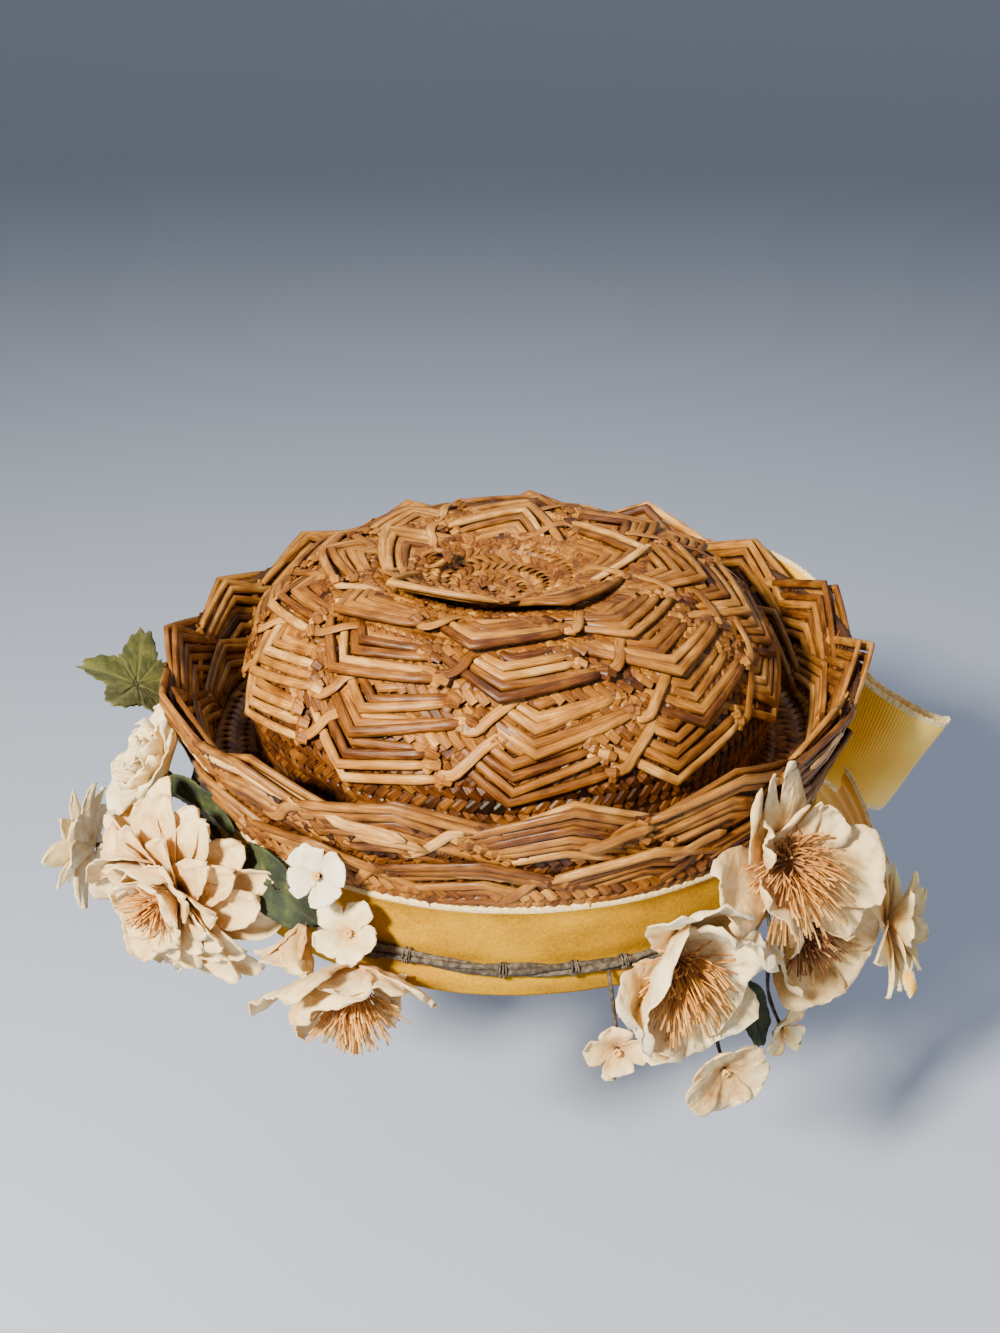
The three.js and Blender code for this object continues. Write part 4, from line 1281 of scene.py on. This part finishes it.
# How crumpled each poppy is, and its stamens: how many, length, splay in degrees, lift of their seat,
# and how far their tips hang down.
POPPY_FILLS = {
    "poppy_left": (1.7, 230, 21, 30, -1, 2),
    "poppy_front": (2.2, 230, 19, 62, 2, 6),
    "poppy_upper": (1.2, 260, 19, 84, 2, 7),
    "poppy_lower": (1.0, 200, 15, 66, 1.5, 2),
}


def make_poppy(name, silk, yarn):
    """A poppy of broad crumpled petals round a dense brush of stamens."""
    dice = random.Random(SEED + 20 + list(POPPIES).index(name))
    crush, number, reach, splay, lift, droop = POPPY_FILLS[name]
    frame = head_frame(name)
    draft = Draft()
    for k, (clock, length, width, start, end, points) in enumerate(POPPIES[name]):
        level = min(lift, 0) * 3 + 0.35 * (k % 2)
        petal(draft, frame, clock_turn(frame, clock), length, width, BROAD, start, end, dice, 0.14, 2.6, 1,
              level, crush, 0.16, points)
    make_head(name, draft, silk)
    brush = Draft()
    thread_brush(brush, frame, number, reach, splay, lift, droop, dice)
    lump(brush, frame, (0, 0, lift + 0.6), 3.4, 2.6, 10, 80, 0.6)
    make_piece(name + "_brush", brush, [yarn], [name + "_stamens"])


def make_bud(name, wax):
    """Two waxed buds on a wire."""
    frame = head_frame(name)
    draft = Draft()
    for middle, size in (((0, 0, 0), 2.7), ((4.0, 1.2, 0.4), 2.2)):
        lump(draft, frame, middle, size, size * 1.25, 12, 84)
    rod(draft, [frame @ Vector(p) for p in ((0, 0, -2), (2, 0.6, -4), (4, 1.2, -2))], [0.4] * 3, 6)
    make_piece(name + "_wax", draft, [wax], [name])


# The leaves: azimuth, radius and height of the foot, the way the leaf points, its length, width, the
# number of lobes and how deep they are cut, its droop, and where its stalk meets the stem.
LEAVES = {
    "leaf_lobed": (-88, 116, 43, (-88, 36), 37, 56, 5, 0.4, -0.2, -82),
    "leaf_dark_upper": (-50, 109, 33, (-135, 20), 31, 18, 1, 0, -0.25, -50),
    "leaf_dark_lower": (-46, 109, 32, (36, -22), 31, 18, 1, 0, -0.25, -47),
    "leaf_right": (38, 111, -7, (62, -60), 25, 11, 1, 0, -0.2, 38.5),
}
LEAF_SPOKES = 120
LEAF_RINGS = 12


def leaf_frame(name):
    azimuth, radius, height, points = LEAVES[name][:4]
    along = heading(*points)
    across = UP.cross(place(azimuth, 1, 0)).normalized()
    across = (across - along * across.dot(along)).normalized()
    frame = Matrix((along, across, along.cross(across))).transposed().to_4x4()
    return Matrix.Translation(place(azimuth, radius, height)) @ frame


def make_leaf(name, cloth):
    """A leaf of stiffened cloth, lobed and toothed, folded along its midrib and pressed with veins."""
    length, width, lobes, depth, droop = LEAVES[name][4:9]
    frame = leaf_frame(name)
    draft = Draft()
    heart_x = length / 2 * (1 - depth)
    middle = draft.add_point(frame @ Vector((heart_x, 0, droop * heart_x * heart_x / length)), 0.8)
    rings = []
    for i in range(1, LEAF_RINGS + 1):
        share = i / LEAF_RINGS
        ring = []
        for a in turns(LEAF_SPOKES):
            reach = 1 - depth * (0.5 - 0.5 * cos(a * lobes))
            teeth = 1 + share * 0.07 * sin(a * lobes * 7) * (0.4 + 0.6 * cos(a * lobes) ** 2)
            x = heart_x + length / 2 * cos(a) * reach * share * teeth
            y = width / 2 * sin(a) * reach * share * teeth
            vein = cos(a * lobes) ** 24 if lobes > 1 else 0
            side_vein = max(0, sin((x + abs(y) * -0.8) * 1.5)) ** 4 * (0.7 if abs(y) > 0.5 else 0)
            rib = max(0, 1 - abs(y) / 0.8)
            line = max(vein * (1 - share * 0.4), rib, side_vein * 0.7)
            z = droop * x * x / length + 0.22 * abs(y) - 0.45 * line
            z += 1.1 * ripple(Vector((x, y, 0)), 7, 4) * share + 0.25 * ripple(Vector((x, y, 3)), 1.8, 6)
            ring.append(draft.add_point(frame @ Vector((x, y, z)), line, x, share))
        rings.append(ring)
    inner = rings[0]
    draft.faces += [(middle, inner[j], inner[(j + 1) % LEAF_SPOKES]) for j in range(LEAF_SPOKES)]
    draft.add_rings(rings, closed_ends=False)
    thicken(make_piece(name + "_cloth", draft, [cloth], [name]), LEAF_WALL)


def make_stalks(wire):
    """A bound wire from each head and leaf to the stem."""
    draft = Draft()
    feet = [(head_frame(name), row[-1]) for name, row in HEADS.items()]
    feet += [(leaf_frame(name), row[-1]) for name, row in LEAVES.items()]
    for frame, meets in feet:
        foot = frame @ Vector((0.6, 0, 0.4))
        joint = stem_point(meets)
        way = joint - foot
        back = frame.to_3x3() @ Vector((0, 0, -1))
        line = smooth_line([foot, foot + back * min(4, way.length * 0.3) + way * 0.25,
                            foot.lerp(joint, 0.7), joint - way.normalized() * 1.5], 5)
        rod(draft, line, [0.62 + 0.1 * sin(i * 2.1) for i in range(len(line))], 7, 0.4)
    make_piece("flower_stalks", draft, [wire])


def make_garland(looks):
    """Every head, bud and leaf of the garland, on its stem."""
    dice = random.Random(SEED + 5)
    make_stem(looks["wire"])
    make_stalks(looks["wire"])
    make_dahlia(looks["aged"], looks["yarn"])
    for name, (silk, yarn, rows) in FLOWERS.items():
        make_flower(name, looks[silk], looks.get(yarn), rows, dice)
    for name in POPPIES:
        make_poppy(name, looks["cream" if name == "poppy_front" else "aged"],
                   looks["dark_yarn" if name == "poppy_lower" else "yarn"])
    for name in ("bud_left", "bud_right"):
        make_bud(name, looks["wax"])
    for name in LEAVES:
        make_leaf(name, looks["olive_muslin" if name == "leaf_lobed" else "moss_velvet"])


# Lights and floor

FLOOR_HEIGHT = -150
# The floor from its middle outwards: radius, and height over its level part.
FLOOR_SECTION = [(1000, 0), (2600, 0), (3100, 60), (3500, 240), (3800, 540), (4000, 1000), (4050, 1800)]
FLOOR_STEPS = 72
LIGHT_AIM = (0, 0, 30)
# The lights: where each is, its size in metres, its power and its colour.
LIGHTS = {
    "key": ((-450, -700, 640), 0.13, 39, "#FFF4DE"),
    "fill": ((800, -700, 500), 1.0, 3.4, "#F2F2FA"),
    "top": ((100, 500, 1000), 0.9, 4.5, "#F6F7FF"),
}
WORLD_COLOUR, WORLD_STRENGTH = "#E4E8F0", 0.28


def set_floor():
    """A plain pale floor that curves up far off all round."""
    draft = Draft()
    rings = []
    for radius, height in FLOOR_SECTION:
        rings.append([draft.add_point(place(i * 360 / FLOOR_STEPS, radius, FLOOR_HEIGHT + height))
                      for i in range(FLOOR_STEPS)])
    draft.add_rings(rings, closed_ends=False)
    draft.faces.append(tuple(reversed(rings[0])))
    mesh = bpy.data.meshes.new("floor")
    mesh.from_pydata(draft.points, [], draft.faces)
    mesh.polygons.foreach_set("use_smooth", [True] * len(mesh.polygons))
    mesh.materials.append(Look("floor_paper", Roughness=0.9, Base_Color=linear("#AAB6CC")).material)
    floor = bpy.data.objects.new("floor", mesh)
    bpy.context.scene.collection.objects.link(floor)


def set_lights():
    """A soft key at the front left, a fill at the right and a light from above, in pale surroundings."""
    for name, (at, size, power, colour) in LIGHTS.items():
        data = bpy.data.lights.new(name, "AREA")
        data.size = size
        data.energy = power
        data.color = linear(colour)[:3]
        light = bpy.data.objects.new(name, data)
        light.location = Vector(at) * MM
        aim = Vector(LIGHT_AIM) * MM - light.location
        light.rotation_euler = aim.to_track_quat("-Z", "Y").to_euler()
        bpy.context.scene.collection.objects.link(light)
    world = bpy.data.worlds.new("studio")
    world.use_nodes = True
    background = world.node_tree.nodes["Background"]
    background.inputs["Color"].default_value = linear(WORLD_COLOUR)
    background.inputs["Strength"].default_value = WORLD_STRENGTH
    bpy.context.scene.world = world


# Colours, each as the ramp from its darkest places to its palest. A silk has the colour that its
# edge has browned to as well, and a leaf the colour of its veins.
WHEAT_STRAW = [(0.05, "#180A03"), (0.28, "#50290B"), (0.48, "#825018"), (0.68, "#B27A34"), (0.92, "#F0C47C")]
# Painted shade: a dark straw for the walls and the channel floor behind the plait, so that the gaps between
# the straws read as shadow.
SHADOWED_STRAW = [(0.2, "#321C0C"), (0.6, "#5E3C1E"), (0.9, "#845C34")]
SILKS = {
    "aged": ([(0.2, "#9C6C30"), (0.4, "#CBA264"), (0.6, "#E8CC96"), (0.9, "#FAEAC2")], "#C99F6C"),
    "cream": ([(0.2, "#A87E44"), (0.4, "#D8BA84"), (0.6, "#EEDCB0"), (0.9, "#FCF3D8")], "#D2B080"),
    "white": ([(0.2, "#A88454"), (0.36, "#D0C2A4"), (0.56, "#E2DAC8"), (0.9, "#EFEADC")], "#D8C8AA"),
    "yellowed": ([(0.2, "#B98A4A"), (0.42, "#DDBC7C"), (0.62, "#EEDBA8"), (0.9, "#F8ECC8")], "#C79A54"),
}
LEAF_CLOTHS = {
    "olive_muslin": ([(0.25, "#1C2208"), (0.45, "#353A12"), (0.65, "#50521E"), (0.85, "#7C7838")], "#77743A"),
    "moss_velvet": ([(0.25, "#0C150C"), (0.45, "#1B2818"), (0.62, "#333E1C"), (0.82, "#6A6A3A")], "#2A2A1A"),
}

set_camera()
straw = straw_material("wheat_straw", WHEAT_STRAW, 0.42)
straw_in_shadow = straw_material("straw_in_shadow", SHADOWED_STRAW, 0.7)
ribbon = [velvet_material(), ribbon_back_material(), selvage_material()]
garland = {name: petal_material(name + "_silk", *colours) for name, colours in SILKS.items()}
garland.update({name: leaf_material(name, *colours) for name, colours in LEAF_CLOTHS.items()})
garland["wire"] = wire_material()
garland["wax"] = bud_material()
garland["yarn"] = stamen_material("tan_thread", "#7E440A", "#C8862A")
garland["dark_yarn"] = stamen_material("brown_thread", "#341406", "#8A4A16")
make_crown(straw, straw_in_shadow)
make_brim(straw, straw_in_shadow)
make_band(ribbon)
make_bow(ribbon)
make_garland(garland)
set_floor()
set_lights()
